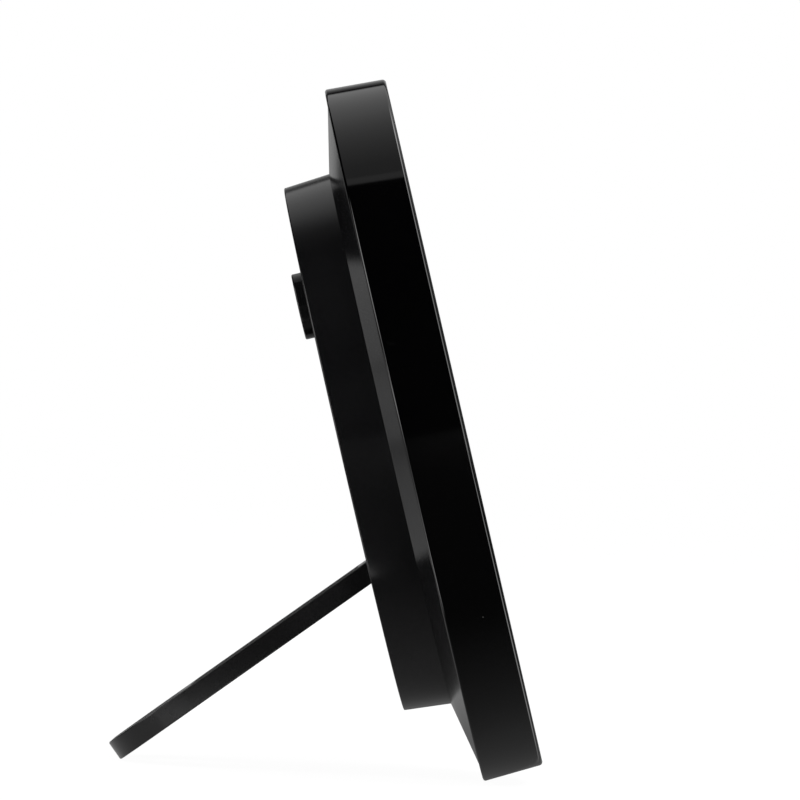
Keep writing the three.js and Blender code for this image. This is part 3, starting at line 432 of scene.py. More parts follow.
dialLook = {
    "grain": 4200, "cloud": 30, "rough": (0.46, 0.56), "tooth": 0.004,
    "white": ((0.80, 0.795, 0.765), (0.84, 0.835, 0.81)),
    "rim": (0.095, 0.111), "rimShade": 0.35, "rimShadeColour": (0.70, 0.69, 0.66),
}


def makeDialWhite(s):
    # warm white print with a faint eggshell tooth, and painted shade darkening the rim where the spacer ring
    # stands over it
    finish, tree, shader, place = newFinish("dial_white")
    grain, cloud = addSkin(tree, place, s["grain"], s["cloud"])
    base = mixColour(tree, cloud, *s["white"])
    x, _, z = axes(tree, place)
    across = mathNode(tree, "POWER", x, 2)
    upward = mathNode(tree, "POWER", z, 2)
    radius = mathNode(tree, "SQRT", mathNode(tree, "ADD", across, upward))
    # painted shade: the dial darkens towards its rim, next to the spacer ring
    rim = spread(tree, radius, *s["rim"], 0, s["rimShade"], True)
    dress(tree, shader, mixColour(tree, rim, base, s["rimShadeColour"]),
          spread(tree, cloud, 0, 1, *s["rough"]), grain, s["tooth"])
    return finish


windingLook = {
    "scale": 900, "waver": 0.4, "copper": ((0.30, 0.10, 0.03), (0.66, 0.29, 0.12)), "rough": (0.45, 0.25),
    "height": 0.05,
}


def makeWinding(s):
    # enamelled copper laid turn by turn along the coil, with painted shade darkening the grooves between turns
    finish, tree, shader, place = newFinish("copper_winding")
    shader.inputs["Metallic"].default_value = 1.0
    turns = addNode(tree, "TexWave", {
        "Vector": place, "Scale": s["scale"], "Distortion": s["waver"]}, bands_direction="X")
    wave = turns.outputs["Fac"]
    # the low part of the wave, the groove between turns, gets the dark copper: painted shade
    dress(tree, shader, mixColour(tree, wave, *s["copper"]), spread(tree, wave, 0, 1, *s["rough"]), wave,
          s["height"])
    return finish


boardLook = {
    "grain": 3600, "cloud": 120, "mask": ((0.012, 0.11, 0.045), (0.02, 0.15, 0.065)), "rough": (0.3, 0.42),
    "trackScale": 190, "trackWidth": 0.03, "trackColour": (0.05, 0.24, 0.10), "trackHeight": 0.03,
}


def makeBoard(s):
    # green solder mask over a grid of tracks
    finish, tree, shader, place = newFinish("board_green")
    _, cloud = addSkin(tree, place, s["grain"], s["cloud"])
    upright = addNode(tree, "Mapping", {"Vector": place, "Rotation": (math.radians(90), 0, 0)})
    tracks = addNode(tree, "TexBrick", {
        "Vector": upright.outputs[0], "Scale": s["trackScale"], "Mortar Size": s["trackWidth"],
    }).outputs["Fac"]
    base = mixColour(tree, cloud, *s["mask"])
    dress(tree, shader, mixColour(tree, tracks, base, s["trackColour"]),
          spread(tree, cloud, 0, 1, *s["rough"]), tracks, s["trackHeight"])
    return finish


jacketLook = {
    "grain": 2600, "cloud": 140, "foil": ((0.045, 0.048, 0.055), (0.075, 0.078, 0.085)), "metal": 0.85,
    "bandFrom": (0.0118, 0.0122), "band": (0.62, 0.34, 0.14), "capFrom": 0.0232, "cap": (0.62, 0.62, 0.63),
    "rough": (0.2, 0.3), "tooth": 0.002,
}


def makeJacket(s):
    # cell jacket: dark foil with a copper-coloured end, in the clock's height
    finish, tree, shader, place = newFinish("cell_jacket")
    _, _, z = axes(tree, place)
    grain, cloud = addSkin(tree, place, s["grain"], s["cloud"])
    shader.inputs["Metallic"].default_value = s["metal"]
    foil = mixColour(tree, cloud, *s["foil"])
    banded = mixColour(tree, spread(tree, z, *s["bandFrom"], 0, 1), foil, s["band"])
    endCap = mathNode(tree, "GREATER_THAN", mathNode(tree, "ABSOLUTE", z), s["capFrom"])
    dress(tree, shader, mixColour(tree, endCap, banded, s["cap"]),
          spread(tree, cloud, 0, 1, *s["rough"]), grain, s["tooth"])
    return finish


finishes.update({
    "clear_window": makeWindow(windowLook), "dial_white": makeDialWhite(dialLook),
    "copper_winding": makeWinding(windingLook), "board_green": makeBoard(boardLook),
    "cell_jacket": makeJacket(jacketLook),
})
finishOfSlot = {
    "gloss_case": "piano_black", "satin_case": "satin_black", "lens_glass": "clear_window",
    "dial_face": "dial_white", "hand_black": "hand_lacquer", "hand_red": "red_lacquer",
    "movement_plastic": "movement_grey", "gear_plastic": "gear_acetal", "magnet": "magnet_grey",
    "steel": "zinc_steel", "brass": "turned_brass", "copper_wire": "copper_winding",
    "battery_jacket": "cell_jacket", "circuit_board": "board_green", "button_rubber": "key_rubber",
    "switch_plastic": "switch_dark", "ferrite": "sintered_grey", "lead_red": "red_sleeve",
    "lead_black": "black_sleeve", "lead_grey": "grey_sleeve",
}
for subpart in frame["record"]["subparts"]:
    node = frame["nodes"][subpart["node"]]
    node.data.materials.clear()
    node.data.materials.append(finishes[finishOfSlot[subpart["material_slot"]]])
print("finishes made:", len(bpy.data.materials))


# Ring case, window, spacer and dial

ringCase = {
    "front": 125.0, "frontRound": 1.3, "back": 126.1, "backRound": 0.9, "depth": 21.9,
    "flat": 5.0, "flatRound": 6.0, "opening": 110.0, "openingRound": 0.5, "dip": 1.6,
    "lip": 3.2, "lipRound": 0.3, "bore": 113.4, "wall": 2.0, "groove": 122.5,
    "rebate": 125.0, "rebateRound": 0.2, "rebateFloor": 19.4, "steps": 288, "arcSteps": 6,
}


def makeRingCase(s):
    ringOut = s["bore"] + s["wall"]
    return turned("ring_case", [
        (s["opening"], s["lip"], s["lipRound"]),
        (s["opening"], s["dip"], s["openingRound"]),
        (s["front"] - s["flat"], 0, s["flatRound"]),
        (s["front"], 0, s["frontRound"]),
        (s["back"], s["depth"], s["backRound"]),
        (s["rebate"], s["depth"], s["rebateRound"]),
        (s["rebate"], s["rebateFloor"]),
        (s["groove"], s["rebateFloor"]),
        (s["groove"], s["lip"]),
        (ringOut, s["lip"]),
        (ringOut, s["rebateFloor"]),
        (s["bore"], s["rebateFloor"]),
        (s["bore"], s["lip"]),
    ], s["steps"], arcSteps=s["arcSteps"])


settle(makeRingCase(ringCase), clockPlace, "case", "gloss_case", ["front_case"])

window = {"radius": 113.0, "front": 3.5, "back": 5.5, "rounds": (0.4, 0.4), "steps": 192}
windowPiece = disc("window", window["radius"], window["front"], window["back"], window["steps"],
                   rounds=window["rounds"])
settle(windowPiece, clockPlace, "case", "lens_glass", ["lens"])

spacer = {
    "out": 113.0, "inFront": 110.0, "inBack": 108.5, "front": 5.8, "frontRound": 0.3, "back": 14.8,
    "foot": 1.8, "footTaper": 0.2, "footRound": 0.2, "step": 0.6, "stepRise": 2.0, "stepRound": 0.15,
    "steps": 192,
}


def makeSpacer(s):
    return turned("spacer_ring", [
        (s["inFront"], s["front"], s["frontRound"]),
        (s["out"], s["front"], s["frontRound"]),
        (s["out"], s["back"]),
        (s["inBack"], s["back"], s["footRound"]),
        (s["inBack"] + s["footTaper"], s["back"] - s["foot"], s["footRound"]),
        (s["inBack"] + s["step"], s["back"] - s["stepRise"], s["stepRound"]),
    ], s["steps"])


settle(makeSpacer(spacer), clockPlace, "case", "satin_case", ["dial_spacer"], "spacer_black")

dial = {
    "radius": 113.0, "rimRound": 0.2, "hole": 4.7, "holeRound": 0.15, "front": 15.1, "back": 16.3,
    "steps": 192, "print": 0.08, "numeralRadius": 84.0, "numeralSize": 19.0, "numeralSteps": 6,
    "markRadius": 103.0, "hourMark": (2.0, 6.0), "minuteMark": (0.7, 3.2), "markCorner": 0.2,
}


def makeDial(s):
    return turned("dial_plate", [
        (s["hole"], s["front"], s["holeRound"]),
        (s["radius"], s["front"], s["rimRound"]),
        (s["radius"], s["back"], s["rimRound"]),
        (s["hole"], s["back"], s["holeRound"]),
    ], s["steps"])


settle(makeDial(dial), clockPlace, "case", "dial_face", ["dial"])


def makeNumerals(s):
    numerals = []
    for hour in range(1, 13):
        angle = math.radians(30 * hour)
        startFresh()
        out = s["numeralRadius"]
        place = Vector((out * math.sin(angle), s["front"], out * math.cos(angle)))
        bpy.ops.object.text_add(location=place * mm, rotation=(math.radians(90), 0, 0))
        numeral = bpy.context.object
        numeral.data.body = str(hour)
        numeral.data.size = s["numeralSize"] * mm
        numeral.data.align_x = "CENTER"
        numeral.data.align_y = "CENTER"
        numeral.data.extrude = s["print"] * mm
        numeral.data.resolution_u = s["numeralSteps"]
        bpy.ops.object.convert(target="MESH")
        bpy.ops.object.mode_set(mode="EDIT")
        numerals.append(closeUp(numeral))
    return merge("dial_numerals", numerals)


def makeMarks(s):
    # one mark, then copies of it spun round the dial
    rings = []
    outer = s["markRadius"] + s["hourMark"][1] / 2
    for name, count in (("hour", 12), ("minute", 60)):
        width, length = s[name + "Mark"]
        outline = roundedBox(-width / 2, width / 2, outer - length, outer, width * s["markCorner"])
        mark = plate(name + "_marks", outline, s["front"] - s["print"], s["front"] + s["print"], 2)
        startFresh(mark)
        bpy.ops.object.mode_set(mode="EDIT")
        bpy.ops.mesh.select_all(action="SELECT")
        bpy.ops.mesh.spin(steps=count - 1, dupli=True, angle=2 * math.pi * (count - 1) / count,
                          center=(0, 0, 0), axis=(0, 1, 0))
        rings.append(mark)
    # no minute mark within two degrees of an hour mark
    pick(rings[1], "VERT", lambda v: abs(math.sin(6 * math.atan2(v.x, v.z))) < 0.2)
    bpy.ops.mesh.delete(type="VERT")
    return merge("dial_marks", rings)


settle(makeNumerals(dial), clockPlace, "case", "hand_black", finish="ink_black", smooth=30)
settle(makeMarks(dial), clockPlace, "case", "hand_black", finish="ink_black", smooth=30)
print("ring case, window and dial made")


# Hands

hands = {
    "hour": {"length": 62.0, "tail": 14.0, "width": 7.0, "hub": 5.2, "hole": 2.7, "front": 10.85,
             "back": 11.55, "time": 304.8},
    "minute": {"length": 92.0, "tail": 18.0, "width": 5.2, "hub": 4.25, "hole": 1.75, "front": 9.35,
               "back": 10.05, "time": 57.5},
    "second": {"length": 97.0, "tail": 30.0, "width": 1.6, "hub": 4.0, "front": 8.05, "back": 8.55,
               "time": 210.0},
}
handForm = {
    "edge": 0.12, "tip": 0.55, "tipRound": 0.9, "tailRound": 0.4, "proud": 0.05, "hubRounds": (0.15, 0.15),
    "cutClear": 1.0, "weight": 3.4, "weightUp": 3.2, "domeIn": 1.2, "dome": (0.65, 0.6, 0.05), "domeRound": 0.3,
}


def makeHand(name, s, form):
    half = s["width"] / 2
    tip = half * form["tip"]
    tailRound, tipRound = half * form["tailRound"], tip * form["tipRound"]
    hand = plate(name + "_hand_piece", [
        (-half, -s["tail"], tailRound), (half, -s["tail"], tailRound),
        (half, s["length"] - 3 * half, half),
        (tip, s["length"], tipRound), (-tip, s["length"], tipRound),
        (-half, s["length"] - 3 * half, half),
    ], s["front"], s["back"])
    soften(hand, form["edge"], 2)
    front, back = s["front"] - form["proud"], s["back"] + form["proud"]
    if name == "second":
        # counterweight disc on the tail and a domed cap on the hub
        weightAt = (0, form["weightUp"] - s["tail"])
        carve(hand, disc("weight", form["weight"], front, back, 32, weightAt, form["hubRounds"]), "UNION")
        middle, shoulder, rim = (front - rise for rise in form["dome"])
        hub = turned("hub", [
            (0, middle), (s["hub"] - form["domeIn"], shoulder), (s["hub"], rim, form["domeRound"]),
            (s["hub"], back, form["hubRounds"][1]), (0, back)], 48, False)
        carve(hand, hub, "UNION")
    else:
        carve(hand, disc("hub", s["hub"], front, back, 48, rounds=form["hubRounds"]), "UNION")
        carve(hand, disc("hole", s["hole"], front - form["cutClear"], back + form["cutClear"], 32))
    return hand


for name, s in hands.items():
    place = clockPlace @ Matrix.Rotation(math.radians(s["time"]), 4, "Y")
    slot = "hand_red" if name == "second" else "hand_black"
    settle(makeHand(name, s, handForm), place, name + "_works", slot, [name + "_hand"])
print("hands made")


# Rear case

rearCase = {
    "drumBase": 96.6, "drumBack": 95.2, "front": 27.0, "back": 43.8, "edge": 0.5, "wall": 2.2,
    "flange": 124.8, "flangeBack": 21.1, "flangeRound": 0.3, "flangeSeat": 19.7,
    "skirt": 113.1, "skirtWall": 2.2, "skirtFront": 16.6, "steps": 288, "arcSteps": 6,
    "mouthRound": 0.5, "mouthWithin": 94.2, "cutClear": 1.0, "lumpSink": 0.3, "lumpStep": 0.1,
    "recessFloor": 35.9, "recessHalf": 42.6, "recessTop": 73.1, "recessCorner": 22.6, "recessSteps": 10,
    "thumb": 11.0, "thumbFloor": 39.55, "thumbRounds": (1.5, 0),
    "pivotDepth": 40.15, "pivotDrop": 42.3, "rootDrop": 4.25, "stopClear": 3.95,
    "pinHole": 2.3, "pinReach": 48.0, "pinBoss": 5.0,
    "wellOut": 66.0, "wellHalf": 7.8, "wellEnd": 27.3, "wellFloor": 26.6, "wellWall": 1.8,
    "wellCorner": 2.0, "roomCorner": 0.8, "coverMargin": 1.6, "coverFloor": 41.5, "coverCorner": 2.0,
    "buttonOut": -66.0, "buttonHole": 4.9, "buttonHeights": (17.0, 0.0, -17.0),
    "bossUp": 52.9, "bossRadius": 11.85, "bossTop": 48.3, "bossRound": 0.5, "bossSink": 0.4,
    "hangerSeat": 9.25, "seatRound": 0.3, "hangerFloor": 45.8, "cup": 8.05, "cupRound": 0.2,
}


def standOutline(half, low, high, corner):
    return [(-half, low), (half, low), (half, high, corner), (-half, high, corner)]


def wellBox(name, s, margin, corner, front, back):
    left, right = s["wellOut"] - s["wellHalf"] - margin, s["wellOut"] + s["wellHalf"] + margin
    end = s["wellEnd"] + margin
    return plate(name, roundedBox(left, right, -end, end, corner), front, back)


def makeRearCase(s):
    wall = s["wall"]
    slope = (s["front"] - s["flangeBack"]) / (s["flange"] - s["drumBase"])
    skirtIn = s["skirt"] - s["skirtWall"]
    innerBase = s["drumBase"] - wall
    inside = s["back"] - wall

    def coneIn(radius):
        return s["front"] - (radius - s["drumBase"]) * slope - wall * math.hypot(1, slope)

    shell = turned("drum_case", [
        (0, s["back"]),
        (s["drumBack"], s["back"], s["edge"]),
        (s["drumBase"], s["front"]),
        (s["flange"], s["flangeBack"], s["flangeRound"]),
        (s["flange"], s["flangeSeat"]),
        (s["skirt"], s["flangeSeat"]),
        (s["skirt"], s["skirtFront"]),
        (skirtIn, s["skirtFront"]),
        (skirtIn, coneIn(skirtIn)),
        (innerBase, coneIn(innerBase)),
        (s["drumBack"] - wall, inside),
        (0, inside),
    ], s["steps"], closed=False, arcSteps=s["arcSteps"])

    # the slope that stops the open stand
    stopAngle = math.pi - standOpen
    stopDepth = s["pivotDepth"] - s["stopClear"] * math.cos(stopAngle)
    stopHeight = -s["pivotDrop"] - s["stopClear"] * math.sin(stopAngle)

    def stopAt(depth):
        return stopHeight - (depth - stopDepth) / math.tan(stopAngle)

    # solid lumps behind the back wall, then everything cut into them
    mouth = s["back"] + s["cutClear"]
    trayFront, lumpBack = s["recessFloor"] - wall, inside + s["lumpSink"]
    tray = standOutline(s["recessHalf"] + s["pinBoss"], stopAt(s["back"]) - wall, s["recessTop"] + wall,
                        s["recessCorner"] + wall)
    carve(shell, plate("tray", tray, trayFront, lumpBack), "UNION")
    thumbAt = (0, s["recessTop"])
    carve(shell, disc("thumb_tray", s["thumb"] + wall, trayFront + s["lumpStep"], lumpBack + s["lumpStep"], 48,
                      thumbAt), "UNION")
    carve(shell, wellBox("well", s, s["wellWall"] + s["coverMargin"], s["wellCorner"],
                         s["wellFloor"] - s["wellWall"], lumpBack), "UNION")

    recess = standOutline(s["recessHalf"], -s["pivotDrop"], s["recessTop"], s["recessCorner"])
    carve(shell, plate("recess", recess, s["recessFloor"], mouth, s["recessSteps"]))
    rootLow, rootHigh = -s["pivotDrop"] - s["rootDrop"], -s["pivotDrop"] + s["rootDrop"]
    rootDepth = stopDepth + (stopHeight - rootLow) * math.tan(stopAngle)
    carve(shell, bar("root", [
        (s["recessFloor"], rootHigh), (s["recessFloor"], rootLow), (rootDepth, rootLow),
        (mouth, stopAt(mouth)), (mouth, rootHigh)], s["recessHalf"]))
    carve(shell, disc("thumb_notch", s["thumb"], s["thumbFloor"], mouth, 64, thumbAt, s["thumbRounds"]))
    pinHole = disc("pin_hole", s["pinHole"], -s["pinReach"], s["pinReach"], 24)
    pinHole.matrix_world = (Matrix.Translation((0, s["pivotDepth"] * mm, -s["pivotDrop"] * mm))
                            @ Matrix.Rotation(math.radians(90), 4, "Z"))
    carve(shell, pinHole)
    carve(shell, wellBox("well_room", s, 0, s["roomCorner"], s["wellFloor"], mouth))
    carve(shell, wellBox("cover_room", s, s["coverMargin"], s["coverCorner"], s["coverFloor"], mouth))
    for height in s["buttonHeights"]:
        carve(shell, disc("button_hole", s["buttonHole"], inside - s["cutClear"], mouth, 48,
                          (s["buttonOut"], height)))

    # rounded lips round every mouth in the back
    level, reach = s["back"] * mm, s["mouthWithin"] * mm
    pick(shell, "EDGE", lambda a, b: all(
        abs(v.y - level) < onPlane and math.hypot(v.x, v.z) < reach for v in (a, b)))
    bpy.ops.mesh.bevel(offset=s["mouthRound"] * mm, segments=3, affect="EDGES", clamp_overlap=True)
    startFresh(shell)

    bossFoot = s["recessFloor"] - s["bossSink"]
    boss = turned("boss", [
        (s["cup"], bossFoot), (s["bossRadius"], bossFoot),
        (s["bossRadius"], s["bossTop"], s["bossRound"]), (s["hangerSeat"], s["bossTop"], s["seatRound"]),
        (s["hangerSeat"], s["hangerFloor"]), (s["cup"], s["hangerFloor"], s["cupRound"]),
    ], 96, True, (0, s["bossUp"]))
    return carve(shell, boss, "UNION")


rearPiece = makeRearCase(rearCase)
settle(rearPiece, clockPlace, "case", "satin_case", ["rear_case"])
print("rear case made,", len(rearPiece.data.polygons), "faces")


# Hanger plate, buttons, battery and its cover

hanger = {
    "radius": 8.95, "front": 46.1, "back": 47.3, "up": 52.9, "entryUp": 50.7, "entry": 4.9, "slot": 4.4,
    "rise": 5.2, "cutClear": 1.0, "edge": 0.15,
}


def makeHanger(s):
    front, back = s["front"] - s["cutClear"], s["back"] + s["cutClear"]
    piece = disc("keyhole_plate", s["radius"], s["front"], s["back"], 96, (0, s["up"]))
    carve(piece, disc("entry", s["entry"], front, back, 64, (0, s["entryUp"])))
    # corners just short of half the width keep the top of the slot free of doubled points
    half = s["slot"] / 2
    slot = roundedBox(-half, half, s["entryUp"], s["entryUp"] + s["rise"] + half, half * 0.99)
    carve(piece, plate("slot", slot, front, back))
    return soften(piece, s["edge"], 2)


settle(makeHanger(hanger), clockPlace, "case", "steel", ["hanger_plate"])

button = {
    "out": -66.0, "heights": {"set": 17.0, "receive": 0.0, "reset": -17.0}, "radius": 4.5, "flange": 5.9,
    "stem": 2.0, "stemFront": 39.1, "stemRound": 0.3, "flangeFront": 40.3, "flangeBack": 41.3,
    "flangeRound": 0.2, "top": 43.5, "topRound": 0.5, "dish": 0.35, "smooth": 50,
    "dishSteps": ((0.62, 0.55), (0.3, 0.92), (0, 1)),  # shares of the radius and of the dish
}


def makeButton(name, height, s):
    return turned(name + "_key", [
        (0, s["stemFront"]),
        (s["stem"], s["stemFront"], s["stemRound"]),
        (s["stem"], s["flangeFront"], s["flangeRound"]),
        (s["flange"], s["flangeFront"], s["flangeRound"]),
        (s["flange"], s["flangeBack"], s["flangeRound"]),
        (s["radius"], s["flangeBack"], s["flangeRound"]),
        (s["radius"], s["top"], s["topRound"]),
        *[(s["radius"] * out, s["top"] - s["dish"] * deep) for out, deep in s["dishSteps"]],
    ], 64, False, (s["out"], height))


for name, height in button["heights"].items():
    settle(makeButton(name, height, button), clockPlace, name + "_button", "button_rubber",
           [name + "_button"], smooth=button["smooth"])

cell = {
    "radius": 7.1, "rimRound": 0.7, "low": -25.2, "high": 24.0, "nub": 2.7, "nubHigh": 25.2, "nubRound": 0.4,
    "sink": 0.3, "sinkRound": 0.3, "pad": (4.6, 4.9), "padRound": 0.2, "rim": (1.2, 1.7), "nubFoot": 0.5,
    "footRound": 0.1, "out": 66.0, "depth": 34.1,
}


def makeCell(s):
    padIn, padOut = s["pad"]
    rimOut, rimIn = (s["radius"] - width for width in s["rim"])
    floor = s["high"] - s["sink"]
    return turned("cell", [
        (0, s["low"] + s["sink"]),
        (padIn, s["low"] + s["sink"], s["padRound"]),
        (padOut, s["low"], s["padRound"]),
        (s["radius"], s["low"], s["rimRound"]),
        (s["radius"], s["high"], s["rimRound"]),
        (rimOut, s["high"], s["sinkRound"]),
        (rimIn, floor, s["sinkRound"]),
        (s["nub"] + s["nubFoot"], floor, s["sinkRound"]),
        (s["nub"], s["high"], s["footRound"]),
        (s["nub"], s["nubHigh"], s["nubRound"]),
        (0, s["nubHigh"]),
    ], 96, False)


cellPlace = clockPlace @ Matrix.Translation(Vector((cell["out"], cell["depth"], 0)) * mm)
settle(makeCell(cell), cellPlace @ Matrix.Rotation(math.radians(90), 4, "X"), "case", "battery_jacket",
       ["battery"])

cover = {
    "left": 57.0, "right": 75.0, "end": 28.5, "corner": 1.7, "front": 41.8, "back": 43.8, "edge": 0.35,
    "scoopUp": 19.0, "scoopRadius": 6.0, "scoopDepth": 0.9, "scoopTaper": 1.0, "scoopRound": 0.8,
    "cutClear": 1.0, "ridges": 3, "ridgePitch": 2.6, "ridgeHalf": (3.4, 0.5), "ridgeRound": 0.45,
    "ridgeRoot": 0.2, "ridgeSink": 0.15,
}


def makeCover(s):
    outline = roundedBox(s["left"], s["right"], -s["end"], s["end"], s["corner"])
    piece = soften(plate("battery_door", outline, s["front"], s["back"]), s["edge"])
    middle = (s["left"] + s["right"]) / 2
    floor, mouth = s["back"] - s["scoopDepth"], s["back"] + s["cutClear"]
    carve(piece, turned("scoop", [
        (0, floor), (s["scoopRadius"] - s["scoopTaper"], floor, s["scoopRound"]), (s["scoopRadius"], mouth),
        (0, mouth)], 64, False, (middle, s["scoopUp"])))
    across, up = s["ridgeHalf"]
    for i in range(s["ridges"]):
        height = s["scoopUp"] + (i - (s["ridges"] - 1) / 2) * s["ridgePitch"]
        ridge = roundedBox(middle - across, middle + across, height - up, height + up, s["ridgeRound"])
        carve(piece, plate("ridge", ridge, floor - s["ridgeRoot"], s["back"] - s["ridgeSink"], 3), "UNION")
    return piece


settle(makeCover(cover), clockPlace, "battery_cover", "satin_case", ["battery_cover"])
print("back fittings made")


# Stand

stand = {
    "half": 42.0, "length": 114.8, "corner": 22.0, "cornerSteps": 16, "thick": 7.3, "rootShare": 0.985,
    "skin": 2.4, "rib": 2.4, "bayLow": 7.3, "bayHigh": 79.75, "bayCorner": 2.5, "holeAt": 95.2, "hole": 13.05,
    "pinHole": 2.3, "pinDeep": 6.3, "edge": 0.5, "lipRound": 0.4, "lipMargin": 1.0, "cutClear": 1.0,
}


def makeStand(s):
    thin = s["thick"] / 2
    outline = standOutline(s["half"], -thin, s["length"], s["corner"])
    arm = plate("stand_arm", outline, -thin, thin, s["cornerSteps"])
    # the two long edges at the hinge become a half round
    pick(arm, "EDGE", lambda a, b: abs(a.x - b.x) > s["half"] * mm
         and all(abs(v.z + thin * mm) < onPlane for v in (a, b)))
    bpy.ops.mesh.bevel(offset=thin * s["rootShare"] * mm, segments=10, affect="EDGES")
    soften(arm, s["edge"], 3, 60)
    low, high = -thin - s["cutClear"], thin + s["cutClear"]
    bayHalf = (s["half"] - 1.5 * s["rib"]) / 2
    for side in (-1, 1):
        middle = side * (bayHalf + s["rib"] / 2)
        bay = roundedBox(middle - bayHalf, middle + bayHalf, s["bayLow"], s["bayHigh"], s["bayCorner"])
        carve(arm, plate("bay", bay, low, thin - s["skin"]))
        pin = disc("pin", s["pinHole"], s["half"] - s["pinDeep"], s["half"] + s["cutClear"], 24)
        pin.matrix_world = Matrix.Rotation(math.radians(-90 * side), 4, "Z")
        carve(arm, pin)
    carve(arm, disc("hole", s["hole"], low, high, 96, (0, s["holeAt"])))
    # rounded lips of the bays and the hole
    across = (s["half"] - s["lipMargin"]) * mm
    top = (s["holeAt"] + s["hole"] + s["lipMargin"]) * mm
    pick(arm, "EDGE", lambda a, b: all(
        abs(abs(v.y) - thin * mm) < onPlane and abs(v.x) < across and v.z < top for v in (a, b)))
    bpy.ops.mesh.bevel(offset=s["lipRound"] * mm, segments=3, affect="EDGES", clamp_overlap=True)
    startFresh(arm)
    return arm


settle(makeStand(stand), standPlace, "stand", "satin_case", ["stand"], "stand_black")
print("stand made")


# Camera: seen square to the edge, a little turned, as in the photograph

viewer = {"distance": 2.85, "lens": 360.5, "roll": 3.54, "imageSide": 800, "dialX": 464.15, "dialY": 421.7}


def makeCamera(s):
    data = bpy.data.cameras.new("viewer")
    data.sensor_width = 36.0
    data.lens = s["lens"]
    camera = bpy.data.objects.new("viewer", data)
    bpy.context.scene.collection.objects.link(camera)
    camera.location = dialCentre + Vector((-s["distance"], 0, 0))
    ahead = Vector((1, 0, 0))
    level = ahead.to_track_quat("-Z", "Y").to_matrix()
    rolled = level @ Matrix.Rotation(math.radians(s["roll"]), 3, "Z")
    pixels = s["imageSide"] * s["lens"] / data.sensor_width
    half = s["imageSide"] / 2
    onImage = Vector(((s["dialX"] - half) / pixels, (half - s["dialY"]) / pixels, -1))
    aim = (rolled @ onImage).rotation_difference(ahead).to_matrix()
    camera.rotation_euler = (aim @ rolled).to_euler()
    bpy.context.scene.camera = camera
    return camera


makeCamera(viewer)


# Studio: pale floor with a painted reflection glow, white surround, soft lamps

studio = {
    "floorSize": 40.0, "floorDrop": 0.0003, "floorColour": (0.62, 0.62, 0.62), "floorRough": 0.9,
    "floorSeen": 0.9, "floorWhite": 1.08, "ambient": 0.35, "room": 0.004,
    # places of edges are (edge, softness)
    "backdrop": 0.30, "backdropHalf": (0.215, 0.02), "backdropFade": (0.16, 0.365),
    "sideFrom": (0.33, 0.02), "sideEnd": (1.6, 0.1), "sideGlow": 0.22, "sideTop": (0.21, 0.02), "gap": 0.03,
    "panelLow": (0.40, 0.025), "panelCut": 1.85, "panelSkew": 1.30, "panelSide": (0.36, 0.03),
    "panelGlow": (0.45, 0.24), "panelFall": (0.87, 1.41), "panelRim": 0.12, "panelRimWidth": 0.05,
    "stripGlow": 3.6, "stripSoft": (0.02, 0.04),
    "dialStrip": (0.17, 0.30), "dialStripSpread": 0.12, "dialStripFrom": (0.97, 0.27),
    "backStrip": (0.37, 0.95), "backStripFrom": (1.6, 0.06), "backStripLow": (0.1, 0.4),
    "backStripNear": (-0.75, -0.65),
    # painted glowing floor wedges, seen only in reflections, are slope, edge and softness
    "dialWedge": ((0.13, -0.0785, 0.002), (0.5, -0.078, 0.004)), "dialWedgeFade": (-0.10, -0.02, 1.0, 0.12),
    "backWedge": (-0.55, -0.091, 0.004), "backWedgeFade": (-0.065, -0.02, 1.0, 0.0),
    "backWedgeEnd": (-0.13, 0.004), "backWedgeFar": (-0.75, -0.35, 1.0, 0.0),
    # painted glow of the floor near and behind the clock, seen only in reflections
    "nearDark": -0.15, "nearLight": -0.04, "nearGlow": 0.17, "farFrom": (0.3, 0.1), "farSide": (0.0, 0.05),
    "behind": (-0.03, 0.06), "behindGain": 3.2, "behindShift": (0.0, 0.06, 0.0, 0.08),
    # painted contact shadow: the floor's reflected glow darkens round the point where the rim touches
    "touch": (0, -0.068, 0), "touchReach": 0.05, "touchShade": 0.55,
    "lamps": {
        "front": {"at": (-0.7, -1.4, 2.3), "to": (0, 0, 0.13), "size": (1.5, 1.5), "power": 62.0},
        "back": {"at": (-1.3, 2.0, 1.9), "to": (0, 0, 0.13), "size": (1.4, 1.4), "power": 30.0},
    },
}


def above(tree, value, edge, soft=0.006):
    # 0 below the edge, 1 above it
    if isinstance(edge, (int, float)):
        return spread(tree, value, edge - soft, edge + soft, 0, 1, True)
    return spread(tree, mathNode(tree, "SUBTRACT", value, edge), -soft, soft, 0, 1, True)


def product(tree, *values):
    return reduce(lambda first, second: mathNode(tree, "MULTIPLY", first, second), values)


def total(tree, *values):
    return reduce(lambda first, second: mathNode(tree, "ADD", first, second), values)


def opposite(tree, value):
    return mathNode(tree, "SUBTRACT", 1.0, value)


def below(tree, value, *edge):
    return opposite(tree, above(tree, value, *edge))


def backdropGlow(tree, s, x, y):
    # white sheet straight behind the clock, a dark gap each side of it, then pale side walls
    turn = mathNode(tree, "ABSOLUTE", mathNode(tree, "ARCTAN2", y, x))
    sheet = product(tree, below(tree, turn, *s["backdropHalf"]), s["backdrop"])
    walls = product(tree, above(tree, turn, *s["sideFrom"]), below(tree, turn, *s["sideEnd"]), s["sideGlow"])
    return sheet, total(tree, walls, s["gap"])


def stripGlow(tree, direction, axis, low, high, soft):
    # tall soft light beside the viewer, between two angles from the dial plane
    share = vectorNode(tree, "DOT_PRODUCT", direction, axis)
    return product(tree, above(tree, share, low, soft[0]), below(tree, share, high, soft[1]))


def slanted(tree, x, y, slope):
    # distance of a floor place from a slanted line through the origin
    return total(tree, y, product(tree, x, -slope))


